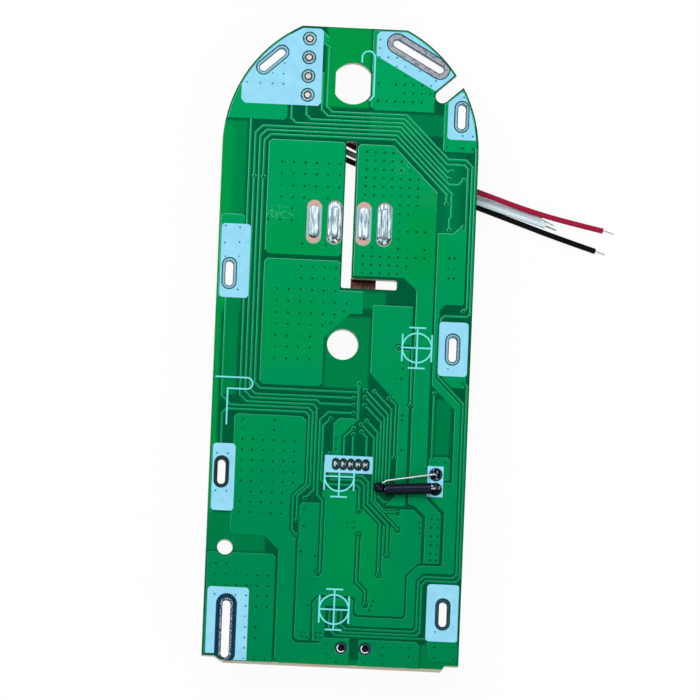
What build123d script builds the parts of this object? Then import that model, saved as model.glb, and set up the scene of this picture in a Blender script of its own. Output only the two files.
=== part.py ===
from build123d import *
from math import asin, cos, degrees, radians, sin
import os

# Protection board for a battery of seven cells, lying with its solder side up.
# Millimetres: +X across the board, +Y along it towards the end with the wires, +Z up.
# The origin is under the middle of the board, on the surface that its terminals stand on.

os.makedirs("parts", exist_ok=True)

# Board outline: straight sides, two round shoulders, a scored foot edge with stepped corners
board_width = 42.8
board_length = 107.6
board_thickness = 1.6
standoff = 8.0
shoulder_drop = 20.4
shoulder_radius = 22.8
corner_step = 1.0
corner_width = 2.3
corner_slant = 0.6
slot_corner_width = 2.1
slot_corner_slant = 1.6
score_bevel = 0.35

# Edges and faces of the board that everything else is placed from
left = -board_width / 2
right = board_width / 2
top = board_length / 2
foot = -board_length / 2
underside = standoff
surface = standoff + board_thickness

# Openings in the laminate
notch_width = 2.3
notch_end = (right - 6.4, top - 10.85)
notch_angle = 42.3
oval_hole = (0.0, top - 9.4)
oval_height = 7.0
oval_width = 5.9
middle_hole = (0.0, 0.4)
middle_hole_radius = 2.6
pin_hole = (left + 3.15, -34.5)
pin_hole_radius = 1.3
slit_left = -0.7
slit_right = 1.0
slit_end = 34.6
slit_bottom = 9.9
slit_leg_top = 11.55
slit_leg_end = 8.65
slit_fillet = 0.35

# Copper foil under the green mask, and the white print over it
copper = 0.07
print_height = 0.03
edge_margin = 0.3
trace_width = 0.3
strong_trace_width = 0.4
fine_trace_width = 0.26
copper_gap = 0.32
fine_gap = 0.27
via_pad_radius = 0.34
bundle_pitch = 0.7
print_window = 0.14
mark_width = 0.26

# Plated slots for the tabs of the cells: x, y, turn and length of each opening
plating = 0.1
tab_slot_width = 1.4
tab_slot_length = 4.3
shoulder_slot_length = 5.4
tab_ring = 0.45
tab_slots = {
    "shoulder": (left + 7.8, top - 6.0, notch_angle, shoulder_slot_length),
    "upper_right": (right - 3.05, top - 14.2, 90, tab_slot_length),
    "upper_left": (left + 2.0, 11.5, 90, tab_slot_length),
    "middle_right": (right - 3.05, 0.35, 90, tab_slot_length),
    "lower_left": (left + 2.05, -21.9, 90, tab_slot_length),
    "lower_right": (right - 2.95, foot + 9.6, 90, tab_slot_length),
}

# Two long slots that carry the full current
power_slot_width = 1.45
power_slot_length = 9.8
power_ring = 0.9
power_slot_edge = 0.7
power_slots = {
    "upper": (10.75, top - 4.35, -29.1),
    "lower": (left + 3.8, foot + power_slot_edge + power_slot_length / 2, 90),
}

# Wires of the outgoing lead, soldered in a row of four holes
wire_diameter = 0.95
strand_diameter = 0.9
wire_hole_diameter = 1.25
wire_ring = 0.42
wire_pitch = 3.17
wire_x = -7.55
wire_ys = [top - 2.15 - wire_pitch * place for place in range(4)]
wire_start = underside - 0.3
tip_diameter = 0.4

# Output terminals: folded channels whose legs are soldered in slots
terminal_xs = (-3.9, 4.4)
terminal_y = 20.85
leg_pitch = 3.47
sheet = 0.8
leg_length = 4.9
leg_fit = 0.1
leg_rise = 0.4
terminal_length = 7.4
terminal_bend = 0.5
terminal_flare = 0.6
terminal_flare_length = 1.4
pad_width = 2.45
pad_length = 7.35
solder_height = 0.3
narrow_joint = (1.85, 5.5)
wide_joint = (2.3, 7.0)

# Signal header with five pins
header_pitch = 1.25
header_pins = 5
header_centre = (2.15, -19.75)
header_pin = 0.4
header_hole_diameter = 0.7
header_pad = (1.05, 1.8)
header_pin_rise = 0.7
header_body = (8.0, 3.2, 4.2)
header_wall = 0.5
header_floor = 1.2
header_pin_setback = 0.6

# Charging socket with two contacts, whose holes show from the solder side
socket_pitch = 4.0
socket_centre = (3.75, foot + 3.2)
socket_contact = 0.7
socket_hole_diameter = 1.15
socket_ring = 0.4
socket_body = (8.0, 5.0)
socket_body_setback = 0.9
socket_mouth = 2.2
socket_contact_start = 1.0
socket_depth = 6.0
socket_contact_reach = 0.8

# Temperature sensor lying on the solder side
sensor_pads = [(right - 5.0, -20.8), (right - 5.0, -23.25)]
sensor_hole_diameter = 0.9
sensor_ring = 0.55
sensor_lead = 0.34
sensor_bend = 0.35
sensor_solder_height = 0.6
sleeve_outer = 1.9
sleeve_bore = 0.5
bead_radius = 0.9
bead_length = 1.9
bead_blunt = 0.1
bead_tip = (6.1, -23.5)
sleeve_gap = 0.75

# Shunt strap under the slit
shunt_width = 4.2
shunt_sheet = 0.7
shunt_x = 3.15
shunt_y = 10.7
shunt_span = 9.6
shunt_foot = 2.0
shunt_drop = 2.0

# Power switches: body, heat tab and two formed leads each
switch_body = (6.5, 6.1, 2.3)
switch_tab = (5.3, 7.4, 0.5)
switch_lead_width = 0.8
switch_lead_sheet = 0.5
switch_lead_pitch = 4.56
switch_lead_reach = 2.6
switch_lead_foot = 1.2
switch_lead_drop = 1.3
switch_tab_notch = 0.9
switch_body_shift = 0.4
switch_places = [
    (left + 12.8, 9.2), (left + 12.8, -0.9), (left + 9.6, -16.4), (left + 9.6, -26.5),
]

# Two control chips with gull-wing leads
chip_thickness = 1.0
chip_clearance = 0.1
chip_lead_sheet = 0.2
chip_lead_width = 0.25
chip_lead_reach = 1.0
chip_lead_foot = 0.55
chip_pitch = 0.65
front_end = {"place": (right - 4.4, 25.4), "size": (4.4, 7.8), "leads": 12}
controller = {"place": (6.9, -11.0), "size": (4.4, 6.5), "leads": 10}

# Chip resistors and capacitors: length, width and height
resistor_size = (1.6, 0.8, 0.45)
capacitor_size = (1.6, 0.8, 0.8)
chip_cap = 0.3
chip_part_pitch = 1.7
wide_part_pitch = 2.0
resistor_places = [(right - 10.2, 30.8 - chip_part_pitch * row) for row in range(7)]
resistor_places += [(right - 8.8, -6.0 - wide_part_pitch * row) for row in range(4)]
capacitor_places = [(right - 12.6, 30.8 - chip_part_pitch * row) for row in range(3)]
capacitor_places += [(1.0, -6.0 - wide_part_pitch * row) for row in range(5)]


# Board

def outline(margin=0.0):
    """Draws the board's outline in the open sketch, drawn in by the margin, without its openings."""
    low = foot + margin
    step = foot + corner_step + margin
    inner = board_width / 2 - margin
    radius = shoulder_radius - margin
    rise = degrees(asin((shoulder_drop - margin) / radius))
    centre_y = top - shoulder_drop
    with BuildLine() as edge_line:
        right_arc = CenterArc((right - shoulder_radius, centre_y), radius, 0, rise)
        left_arc = CenterArc((left + shoulder_radius, centre_y), radius, 180, -rise)
        Line(right_arc @ 1, left_arc @ 1)
        Polyline(
            left_arc @ 0,
            (-inner, step),
            (left + slot_corner_width + margin / 2, step),
            (left + slot_corner_width + slot_corner_slant + margin / 2, low),
            (right - corner_width - corner_slant - margin / 2, low),
            (right - corner_width - margin / 2, step),
            (inner, step),
            right_arc @ 0,
        )
    make_face(edge_line.edges())


def notch(margin=0.0, mode=Mode.SUBTRACT):
    """Cuts the slanted notch through the right shoulder."""
    reach = 12.0
    turn = radians(notch_angle)
    middle = (notch_end[0] + reach / 2 * cos(turn), notch_end[1] + reach / 2 * sin(turn))
    with Locations(middle):
        SlotCenterToCenter(reach, notch_width + 2 * margin, rotation=notch_angle, mode=mode)


def oval(margin=0.0, mode=Mode.SUBTRACT):
    """Cuts the locating hole: a circle with two flats."""
    with BuildSketch(mode=Mode.PRIVATE) as flats:
        Circle(oval_height / 2 + margin)
        Rectangle(oval_width + 2 * margin, oval_height + 4 * margin, mode=Mode.INTERSECT)
    with Locations(oval_hole):
        add(flats.sketch, mode=mode)


def slit(margin=0.0, mode=Mode.SUBTRACT):
    """Cuts the L-shaped slit that keeps the two outputs apart."""
    with BuildSketch(mode=Mode.PRIVATE) as ell:
        Polygon(
            (slit_left - margin, slit_bottom - margin),
            (slit_leg_end + margin, slit_bottom - margin),
            (slit_leg_end + margin, slit_leg_top + margin),
            (slit_right + margin, slit_leg_top + margin),
            (slit_right + margin, slit_end + margin),
            (slit_left - margin, slit_end + margin),
            align=None,
        )
        fillet(ell.vertices(), slit_fillet)
    add(ell.sketch, mode=mode)


def round_openings(margin=0.0, mode=Mode.SUBTRACT):
    """Cuts the two plain round holes."""
    with Locations(middle_hole):
        Circle(middle_hole_radius + margin, mode=mode)
    with Locations(pin_hole):
        Circle(pin_hole_radius + margin, mode=mode)


def tab_slot_faces(margin, mode=Mode.ADD):
    """Draws every tab slot's opening, grown by the margin."""
    for x, y, turn, length in tab_slots.values():
        with Locations((x, y)):
            SlotOverall(length + 2 * margin, tab_slot_width + 2 * margin, rotation=turn, mode=mode)


def power_slot_faces(margin, mode=Mode.ADD):
    """Draws both power slots' openings, grown by the margin."""
    length = power_slot_length + 2 * margin
    width = power_slot_width + 2 * margin
    for x, y, turn in power_slots.values():
        with Locations((x, y)):
            SlotOverall(length, width, rotation=turn, mode=mode)


def leg_places():
    """Gives the middles of the four slots for the terminals' legs."""
    return [(x + side * leg_pitch / 2, terminal_y) for x in terminal_xs for side in (-1, 1)]


def header_places():
    """Gives the places of the header's pins."""
    first = header_centre[0] - header_pitch * (header_pins - 1) / 2
    return [(first + header_pitch * place, header_centre[1]) for place in range(header_pins)]


def socket_places():
    """Gives the places of the charging socket's contacts."""
    return [(socket_centre[0] + side * socket_pitch / 2, socket_centre[1]) for side in (-1, 1)]


wire_places = [(wire_x, y) for y in wire_ys]
round_platings = [
    (wire_places, wire_hole_diameter / 2, wire_ring),
    (socket_places(), socket_hole_diameter / 2, socket_ring),
    (sensor_pads, sensor_hole_diameter / 2, sensor_ring),
]


def header_pads(margin=0.0, mode=Mode.ADD):
    """Draws the long pads of the header's pins, grown by the margin."""
    with Locations(*header_places()):
        SlotOverall(header_pad[1] + 2 * margin, header_pad[0] + 2 * margin, rotation=90, mode=mode)


def lead_holes(margin, mode=Mode.SUBTRACT):
    """Draws the round plated holes and the four leg slots, grown by the margin."""
    for places, radius, ring in round_platings:
        with Locations(*places):
            Circle(radius + margin, mode=mode)
    with Locations(*header_places()):
        Circle(header_hole_diameter / 2 + margin, mode=mode)
    with Locations(*leg_places()):
        Rectangle(sheet + 2 * leg_fit + 2 * margin, leg_length + 2 * leg_fit + 2 * margin, mode=mode)


with BuildPart() as board_laminate:
    with BuildSketch(Plane.XY.offset(underside)):
        outline()
        notch()
        oval()
        slit()
        round_openings()
        tab_slot_faces(plating, Mode.SUBTRACT)
        power_slot_faces(plating, Mode.SUBTRACT)
        lead_holes(plating)
    extrude(amount=board_thickness)
    scored = board_laminate.edges().filter_by(Axis.X).group_by(Axis.Y)[0]
    chamfer(scored, score_bevel)


# Copper of the solder side

edge_lane = right - 0.34
outer_lane = right - 0.88
strip_edge = right - 1.35

pours = {
    "upper_right": [
        (3.15, top), (3.15, 40.65), (3.7, 40.1), (13.7, 40.1), (13.7, 43.2), (right - 2.9, 48.0),
        (right - 2.9, top),
    ],
    "first_wire": [(-8.7, 53.2), (-5.5, 53.2), (-4.3, 51.9), (-4.3, 50.8), (-8.7, 50.8)],
    "shoulder": [(left, 37.75), (-11.3, 37.75), (-10.8, 38.25), (-10.8, top), (left, top)],
    "upper_edge": [
        (right - 5.9, 33.9), (right - 5.6, 33.6), (right, 33.6), (right, 47.0), (right - 5.9, 47.0),
    ],
    "left_tab": [
        (left, 21.1), (left + 1.0, 21.5), (left + 3.7, 21.5), (left + 4.2, 21.1), (left + 4.2, 7.5),
        (left, 7.5),
    ],
    "minus_output": [
        (-13.6, 33.9), (-13.1, 34.4), (-1.3, 34.4), (-0.9, 34.0), (-0.9, 15.6), (-1.3, 15.15),
        (-13.0, 15.15), (-13.6, 15.8),
    ],
    "minus_switch": [
        (-13.6, 13.8), (-13.1, 14.35), (-1.35, 14.35), (-0.9, 13.9), (-0.9, 9.4), (3.1, 9.4),
        (3.1, 5.6), (1.05, 5.6), (-3.2, 1.4), (-3.2, -6.3), (-3.7, -6.85), (-13.1, -6.85),
        (-13.6, -6.3),
    ],
    "plus_output": [
        (1.3, 33.7), (1.8, 34.2), (7.2, 34.2), (14.8, 26.6), (14.8, -24.9), (right - 3.9, -27.5),
        (right - 3.9, -35.5), (right - 4.2, -35.8), (14.95, -35.8), (14.95, -28.0), (13.2, -26.35),
        (12.05, -25.9), (12.0, 9.95), (9.7, 12.05), (1.3, 12.05),
    ],
    "middle": [
        (4.85, 7.2), (11.45, 7.2), (11.45, -26.35), (8.3, -26.35), (9.75, -24.8), (9.75, -9.4),
        (5.2, -4.75), (4.85, -4.2),
    ],
    "right_run": [
        (right - 6.2, 19.8), (right - 3.7, 19.8), (right - 1.8, 21.7), (right - 1.45, 21.7),
        (right - 1.45, 8.2), (right - 1.75, 7.85), (right - 4.5, 7.85), (right - 5.45, 6.9),
        (right - 5.45, -4.85), (strip_edge, -8.95), (strip_edge, -37.45), (right - 6.4, -37.45),
        (13.75, -38.7), (13.75, -46.4), (13.3, -46.85), (2.9, -46.85), (2.6, -46.5), (2.6, -43.9),
        (2.3, -43.6), (-1.0, -43.6), (-1.15, -43.8), (-1.15, -49.2), (-1.6, -49.6), (-3.1, -49.6),
        (-3.2, -43.1), (-2.4, -42.3), (3.15, -42.3), (3.5, -42.7), (3.5, -45.0), (3.9, -45.35),
        (11.75, -45.35), (12.3, -44.8), (12.3, -38.0), (14.1, -36.25), (right - 3.65, -36.2),
        (right - 3.3, -35.8), (right - 3.3, -27.2), (right - 6.05, -24.5), (right - 6.05, -22.1),
        (right - 2.25, -22.1), (right - 2.25, -9.9), (right - 6.2, -5.95),
    ],
    "sensor": [
        (right - 6.2, -17.9), (right - 3.2, -17.9), (right - 2.75, -18.4), (right - 2.75, -21.75),
        (right - 6.2, -21.75),
    ],
    "right_tab": [
        (right - 4.5, 4.7), (right - 0.6, 4.7), (right - 0.6, -6.1), (right - 3.2, -6.1),
        (right - 4.5, -4.8),
    ],
    "left_block": [
        (left, -17.3), (left + 3.9, -17.3), (left + 3.9, -12.5), (left + 4.35, -12.05), (-6.3, -12.05),
        (-5.5, -12.85), (-5.5, -23.1), (-7.65, -25.25), (-7.65, -31.5), (-6.5, -32.7), (-6.5, -49.5),
        (-5.9, -50.1), (-2.0, -50.0), (-1.1, -49.05), (3.1, -49.05), (3.1, foot), (-8.4, foot),
        (-9.25, -52.6), (-9.25, -34.7), (-11.7, -32.3), (left + 4.3, -32.3), (left + 3.9, -31.8),
        (left + 3.9, -28.2), (left, -28.2),
    ],
    "header": [
        (-0.9, -18.2), (-0.9, -12.95), (0.0, -12.05), (3.3, -12.05), (0.4, -14.95), (0.4, -18.2),
    ],
    "ground": [
        (-6.05, -27.0), (-5.6, -26.5), (-2.3, -26.5), (-2.3, -24.1), (3.6, -24.1), (4.2, -26.6),
        (8.0, -27.0), (12.9, -26.95), (14.4, -28.4), (14.4, -35.8), (13.9, -36.0), (11.95, -37.9),
        (11.95, -44.6), (11.55, -44.95), (4.15, -44.95), (3.85, -44.6), (3.85, -42.5), (3.3, -41.9),
        (-2.5, -41.9), (-3.55, -42.9), (-3.55, -49.2), (-3.9, -49.6), (-5.6, -49.6), (-6.1, -49.1),
    ],
    "lower_left": [(left, -35.4), (-10.3, -35.4), (-9.75, -35.95), (-9.75, foot), (left, foot)],
    "socket": [(4.7, -49.1), (14.1, -49.1), (14.8, -49.8), (14.8, foot), (4.7, foot)],
    "lower_right": [
        (right - 5.6, -39.5), (right, -39.5), (right, -52.2), (right - 4.3, -52.2),
        (right - 4.7, -51.8), (right - 5.6, -48.3),
    ],
}


def sense_bundle():
    """Gives the seven sense lines that cross the top of the board and turn down to the right."""
    low_line = 35.2
    first_turn = right - 14.0
    turn_step = 0.29
    ends = [
        [(right - 5.05, 26.25), (right - 5.0, 24.9)],
        [(right - 4.15, 26.35), (right - 4.15, 22.6), (right - 4.4, 22.3), (right - 4.4, 20.5)],
        [(right - 4.8, 28.05), (right - 3.2, 28.05), (right - 2.35, 28.9)],
        [(right - 5.3, 29.4), (right - 4.8, 29.0)],
        [(right - 5.15, 30.2), (right - 4.4, 30.3)],
        [(right - 5.2, 31.4), (right - 2.3, 31.4), (right - 1.6, 30.7), (right - 1.6, 20.5)],
        [
            (right - 5.0, 32.25), (right - 2.05, 32.25), (outer_lane, 31.1), (outer_lane, 7.4),
            (right - 1.5, 6.8),
        ],
    ]
    starts = [
        [(left + 7.05, 28.0), (left + 7.05, 34.2), (left + 8.05, low_line)],
        [(left + 6.3, 28.0), (left + 6.3, 34.85), (left + 7.35, low_line + bundle_pitch)],
        [(left + 5.5, 28.0), (left + 5.5, 35.45), (left + 6.65, low_line + 2 * bundle_pitch)],
        [(-10.05, 41.0), (-10.05, 38.0), (-9.35, low_line + 3 * bundle_pitch)],
        [(wire_x, wire_ys[3]), (wire_x, 38.7), (-6.85, low_line + 4 * bundle_pitch)],
        [(-5.0, 46.0), (-5.0, 39.65), (-4.05, low_line + 5 * bundle_pitch)],
        [(-5.0, 50.9), (-4.1, 50.2), (-4.1, 40.15), (-3.35, low_line + 6 * bundle_pitch)],
    ]
    lines = []
    for place, (start, end) in enumerate(zip(starts, ends)):
        corner = (first_turn + turn_step * place, low_line + bundle_pitch * place)
        lines.append(start + [corner] + end)
    return lines


tab_lines = [
    [
        (left + 4.65, 37.9), (left + 4.65, -8.9), (left + 5.7, -9.95), (-4.6, -9.95), (-3.85, -10.7),
        (-3.85, -24.3), (-5.3, -25.75),
    ],
    [
        (left + 5.5, 28.0), (left + 5.5, -8.3), (left + 6.45, -9.25), (-3.9, -9.25), (-3.4, -9.75),
        (2.2, -9.75),
    ],
    [(left + 6.3, 28.0), (left + 6.3, -7.8), (left + 7.1, -8.6), (2.15, -8.6)],
    [(left + 7.05, 28.0), (left + 7.05, -6.8), (-13.55, -7.6), (3.05, -7.6)],
    [
        (left + 1.65, 8.0), (left + 1.65, -9.2), (left + 3.05, -10.6), (-5.3, -10.6), (-4.45, -11.45),
        (-4.45, -23.4), (-6.5, -25.45), (-6.5, -29.5),
    ],
    [
        (left + 1.8, -17.6), (left + 1.8, -12.0), (left + 2.5, -11.3), (-5.75, -11.3), (-5.05, -12.0),
        (-5.05, -23.3), (-7.2, -25.45), (-7.2, -31.3), (-6.55, -31.95),
    ],
    [
        (2.2, -11.15), (-1.9, -11.15), (-3.2, -12.45), (-3.2, -25.2), (-2.3, -26.1), (-2.3, -37.7),
        (-2.7, -38.2),
    ],
    [
        (-1.5, -12.2), (-2.65, -13.4), (-2.65, -22.6), (-2.0, -23.25), (3.3, -23.25), (3.8, -23.75),
        (3.8, -27.5),
    ],
    [
        (-1.4, -18.1), (-1.7, -18.5), (-1.7, -21.0), (-1.1, -21.6), (4.1, -21.6), (5.25, -22.75),
        (5.25, -26.25), (8.75, -29.75), (8.75, -34.7),
    ],
    [(-1.2, -22.4), (3.75, -22.4), (4.6, -23.25), (4.6, -26.7), (7.45, -29.55), (7.45, -38.1)],
    [(9.4, 0.3), (11.3, 0.3), (11.72, -0.1), (11.72, -9.4)],
    [(right - 5.8, -7.2), (right - 5.8, -18.2)],
    [
        (edge_lane, 34.2), (edge_lane, 6.35), (edge_lane - 0.5, 5.87), (right - 4.6, 5.87),
        (right - 5.15, 5.3), (right - 5.15, -4.6), (outer_lane, -8.87), (outer_lane, -37.5),
        (outer_lane - 0.6, -38.1), (right - 6.3, -38.1), (14.2, -39.0), (14.2, -46.75), (13.55, -47.4),
        (2.2, -47.4), (1.6, -46.8), (1.6, -44.4),
    ],
    [
        (right - 0.8, -5.4), (edge_lane, -5.9), (edge_lane, -38.1), (edge_lane - 0.6, -38.75),
        (right - 5.9, -38.75), (14.78, -39.45), (14.78, -47.4), (14.18, -48.0), (1.5, -48.0),
        (0.75, -47.25), (0.75, -44.4),
    ],
    [(right - 5.0, -48.55), (0.6, -48.55), (-0.35, -47.6), (-0.35, -44.4)],
    [(3.85, -31.5), (3.85, -39.5), (5.4, -41.05), (5.4, -43.2)],
]

header_lines = [
    [(0.95, -19.0), (0.95, -15.1), (2.4, -13.65)],
    [(2.4, -19.0), (2.4, -14.7)],
    [(4.7, -19.0), (4.7, -15.2), (3.7, -14.2)],
    [(3.6, -12.95), (5.9, -15.25), (5.9, -25.9), (10.3, -30.3)],
    [(4.5, -12.3), (6.45, -14.25), (6.45, -25.8), (8.1, -27.45), (10.2, -27.45)],
    [(4.07, -9.7), (6.97, -12.6), (6.97, -25.0), (7.8, -25.85), (8.6, -25.85)],
    [(4.07, -8.36), (7.5, -11.79), (7.5, -24.4)],
    [(4.07, -7.2), (8.05, -11.18), (8.05, -23.4)],
    [(5.6, -7.3), (8.62, -10.32), (8.62, -24.2)],
    [(8.1, -8.36), (9.3, -9.56), (9.3, -18.25)],
]

strong_lines = [[(3.05, -6.1), (3.05, -12.3)]]

via_ends = [
    (right - 5.05, 24.8), (right - 4.4, 20.4), (right - 2.3, 28.95), (right - 4.75, 29.0),
    (right - 4.4, 30.3), (right - 1.53, 6.8), (left + 5.5, 28.05), (left + 7.05, 28.05), (-5.3, -25.75),
    (2.2, -9.75), (2.15, -8.6), (3.05, -6.1), (-6.5, -29.5), (-6.5, -32.0), (2.2, -11.15),
    (-2.7, -38.2), (-1.5, -12.2), (3.8, -27.5), (-1.4, -18.1), (8.75, -34.7), (7.45, -38.1), (9.4, 0.3),
    (11.72, -9.4), (right - 5.8, -7.2), (3.85, -31.5), (5.4, -43.2), (2.4, -13.65), (2.4, -14.7),
    (3.7, -14.2), (3.6, -12.95), (4.5, -12.3), (4.07, -9.7), (4.07, -8.36), (4.07, -7.2), (5.6, -7.3),
    (8.1, -8.36), (9.3, -18.25), (10.2, -27.45), (10.3, -30.4),
]


def draw_lines(lines, width, mode=Mode.ADD):
    """Draws each route as a band of one width."""
    for route in lines:
        with BuildLine() as line:
            Polyline(*route)
        trace(line.edges(), line_width=width, mode=mode)


def clear_openings():
    """Keeps the open sketch off the board's edges and unplated openings."""
    with BuildSketch(mode=Mode.PRIVATE) as inside:
        outline(edge_margin)
    add(inside.sketch, mode=Mode.INTERSECT)
    notch(edge_margin)
    oval(edge_margin)
    slit(plating)
    round_openings(edge_margin)


with BuildPart() as solder_side_copper:
    with BuildSketch(Plane.XY.offset(surface)):
        for corners in pours.values():
            Polygon(*corners, align=None)
        clear_openings()
        draw_lines(sense_bundle() + tab_lines, trace_width + 2 * copper_gap, Mode.SUBTRACT)
        draw_lines(header_lines, fine_trace_width + 2 * fine_gap, Mode.SUBTRACT)
        draw_lines(strong_lines, strong_trace_width + 2 * copper_gap, Mode.SUBTRACT)
        with Locations(*via_ends):
            Circle(via_pad_radius + fine_gap, mode=Mode.SUBTRACT)
        draw_lines(sense_bundle() + tab_lines, trace_width)
        draw_lines(header_lines, fine_trace_width)
        draw_lines(strong_lines, strong_trace_width)
        with Locations(*via_ends):
            Circle(via_pad_radius)
        tab_slot_faces(tab_ring + print_window, Mode.SUBTRACT)
        power_slot_faces(power_ring + print_window, Mode.SUBTRACT)
        for places, radius, ring in round_platings:
            with Locations(*places):
                Circle(radius + ring + print_window, mode=Mode.SUBTRACT)
        header_pads(print_window, Mode.SUBTRACT)
        with Locations(*leg_places()):
            SlotOverall(pad_length + 0.1, pad_width + 0.1, rotation=90, mode=Mode.SUBTRACT)
    extrude(amount=copper)


# White print

def panel(corner_low, corner_high, rounding):
    """Draws one print field between two corners."""
    width = corner_high[0] - corner_low[0]
    height = corner_high[1] - corner_low[1]
    with Locations(((corner_low[0] + corner_high[0]) / 2, (corner_low[1] + corner_high[1]) / 2)):
        RectangleRounded(width, height, rounding)


panel_rounding = 0.6
panel_margin = 0.4
shoulder_panel = [(-18.6, top), (-18.6, 41.0), (-17.95, 40.35), (-5.8, 40.35), (-5.25, 40.9), (-5.25, 52.9),
                  (-5.8, 53.45), (-5.8, top)]
power_panel = [(3.7, 52.8), (4.3, 53.45), (4.3, top), (18.5, top), (18.5, 48.0), (13.8, 43.75), (4.1, 49.05),
               (3.7, 49.3)]
notch_panel = [(16.05, 36.1), (16.5, 35.7), (right, 35.7), (right, 43.7), (18.1, 43.7), (16.05, 41.85)]

with BuildPart() as print_panels:
    with BuildSketch(Plane.XY.offset(surface + copper)):
        for corners in (shoulder_panel, power_panel, notch_panel):
            Polygon(*corners, align=None)
        panel((left + 0.45, 7.45), (left + 5.3, 19.9), panel_rounding)
        panel((right - 5.4, -4.15), (right - 0.5, 4.95), panel_rounding)
        panel((left + 0.5, -28.4), (left + 4.25, -17.1), panel_rounding)
        panel((left + 0.55, foot), (left + 7.45, -41.2), panel_rounding)
        panel((right - 5.7, -48.8), (right - 0.3, -39.2), panel_rounding)
        with BuildSketch(mode=Mode.PRIVATE) as inside:
            outline(panel_margin)
        add(inside.sketch, mode=Mode.INTERSECT)
        notch(panel_margin / 2)
        header_field = (header_centre[0] - 4.35, header_centre[1] - 1.45)
        panel(header_field, (header_centre[0] + 3.65, header_centre[1] + 1.45), 0.1)
        panel((right - 6.44, -24.55), (right - 3.75, -19.4), 0.1)
        tab_slot_faces(tab_ring + print_window, Mode.SUBTRACT)
        power_slot_faces(power_ring + print_window, Mode.SUBTRACT)
        for places, radius, ring in round_platings:
            with Locations(*places):
                Circle(radius + ring + print_window, mode=Mode.SUBTRACT)
        header_pads(print_window, Mode.SUBTRACT)
    extrude(amount=print_height)


def target(centre, radius, reach, bar):
    """Gives the lines of a crosshair in a circle, with a bar across each end."""
    x, y = centre
    return [
        [(x, y - reach), (x, y + reach)],
        [(x - radius, y), (x + radius, y)],
        [(x - bar / 2, y + reach), (x + bar / 2, y + reach)],
        [(x - bar / 2, y - reach), (x + bar / 2, y - reach)],
        [(x - radius, y - bar / 2 - 0.9), (x - radius, y + bar / 2 + 0.9)],
        [(x + radius, y - bar / 2 - 0.9), (x + radius, y + bar / 2 + 0.9)],
    ]


target_radius = 2.46
target_reach = 3.4
target_bar = 2.8
targets = [(right - 9.0, 0.35), (0.32, -21.85), (0.32, -44.2)]
hook_radius = 1.08

with BuildPart() as print_marks:
    with BuildSketch(Plane.XY.offset(surface + copper)):
        for centre in targets:
            with Locations(centre):
                Circle(target_radius + mark_width / 2)
                Circle(target_radius - mark_width / 2, mode=Mode.SUBTRACT)
        for centre in targets:
            draw_lines(target(centre, target_radius, target_reach, target_bar), mark_width)
        with BuildLine():
            Line((1.34, 47.95), (1.34, 48.9))
            over = CenterArc((1.34 + hook_radius, 48.9), hook_radius, 180, -180)
            Line(over @ 1, (1.34 + 2 * hook_radius, 42.3))
        trace(line_width=mark_width)
        draw_lines([[(1.34 + 2 * hook_radius, 42.4), (2.75, 41.65)]], mark_width)
        with BuildLine():
            Line((left + 0.4, -5.95), (-15.7, -5.95))
            around = CenterArc((-15.7, -6.9), 0.95, 90, -180)
            Line(around @ 1, (-18.87, -7.85))
        trace(line_width=mark_width)
        draw_lines([[(-18.87, -7.72), (-18.87, -13.95)]], mark_width)
        with Locations((header_centre[0] - 0.35, header_centre[1] + 2.0)):
            Rectangle(8.0, 6.92, mode=Mode.SUBTRACT)
        notch(edge_margin)
        oval(edge_margin)
    extrude(amount=print_height)


# Tinned platings of the slots and holes

ring_height = copper + 0.03


def plated(ring_faces, hole_faces, barrel_faces):
    """Builds a ring on each side and the barrel between them, from three sketch functions."""
    for low, height, faces in (
        (surface, ring_height, ring_faces),
        (underside - ring_height, ring_height, ring_faces),
        (underside - ring_height, board_thickness + 2 * ring_height, barrel_faces),
    ):
        with BuildSketch(Plane.XY.offset(low)) as ring:
            faces()
            hole_faces()
        extrude(ring.sketch, amount=height)


def inside_board():
    """Keeps the open sketch within the board's outline."""
    with BuildSketch(mode=Mode.PRIVATE) as inside:
        outline(edge_margin)
    add(inside.sketch, mode=Mode.INTERSECT)


def power_rings():
    power_slot_faces(power_ring)
    inside_board()


with BuildPart() as tab_slot_platings:
    plated(
        lambda: tab_slot_faces(tab_ring),
        lambda: tab_slot_faces(0, Mode.SUBTRACT),
        lambda: tab_slot_faces(plating),
    )

with BuildPart() as power_slot_platings:
    plated(power_rings, lambda: power_slot_faces(0, Mode.SUBTRACT), lambda: power_slot_faces(plating))


def circles(places, radius, mode=Mode.ADD):
    """Draws a circle at each place."""
    with Locations(*places):
        Circle(radius, mode=mode)


def plated_holes(places, radius, ring):
    """Builds the platings of round holes."""
    plated(
        lambda: circles(places, radius + ring),
        lambda: circles(places, radius, Mode.SUBTRACT),
        lambda: circles(places, radius + plating),
    )


with BuildPart() as wire_hole_platings:
    plated_holes(*round_platings[0])

with BuildPart() as header_hole_platings:
    plated(
        header_pads,
        lambda: circles(header_places(), header_hole_diameter / 2, Mode.SUBTRACT),
        lambda: circles(header_places(), header_hole_diameter / 2 + plating),
    )

with BuildPart() as socket_hole_platings:
    plated_holes(*round_platings[1])

with BuildPart() as sensor_hole_platings:
    plated_holes(*round_platings[2])


def leg_faces(margin, mode=Mode.ADD):
    """Draws the four leg slots, grown by the margin from the legs."""
    with Locations(*leg_places()):
        Rectangle(sheet + 2 * margin, leg_length + 2 * margin, mode=mode)


def leg_pads():
    with Locations(*leg_places()):
        SlotOverall(pad_length, pad_width, rotation=90)


with BuildPart() as terminal_pads:
    plated(leg_pads, lambda: leg_faces(leg_fit, Mode.SUBTRACT), lambda: leg_faces(leg_fit + plating))


# Output terminals: a sheet folded to a channel, its mouth flared, its legs standing up through the board

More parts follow.
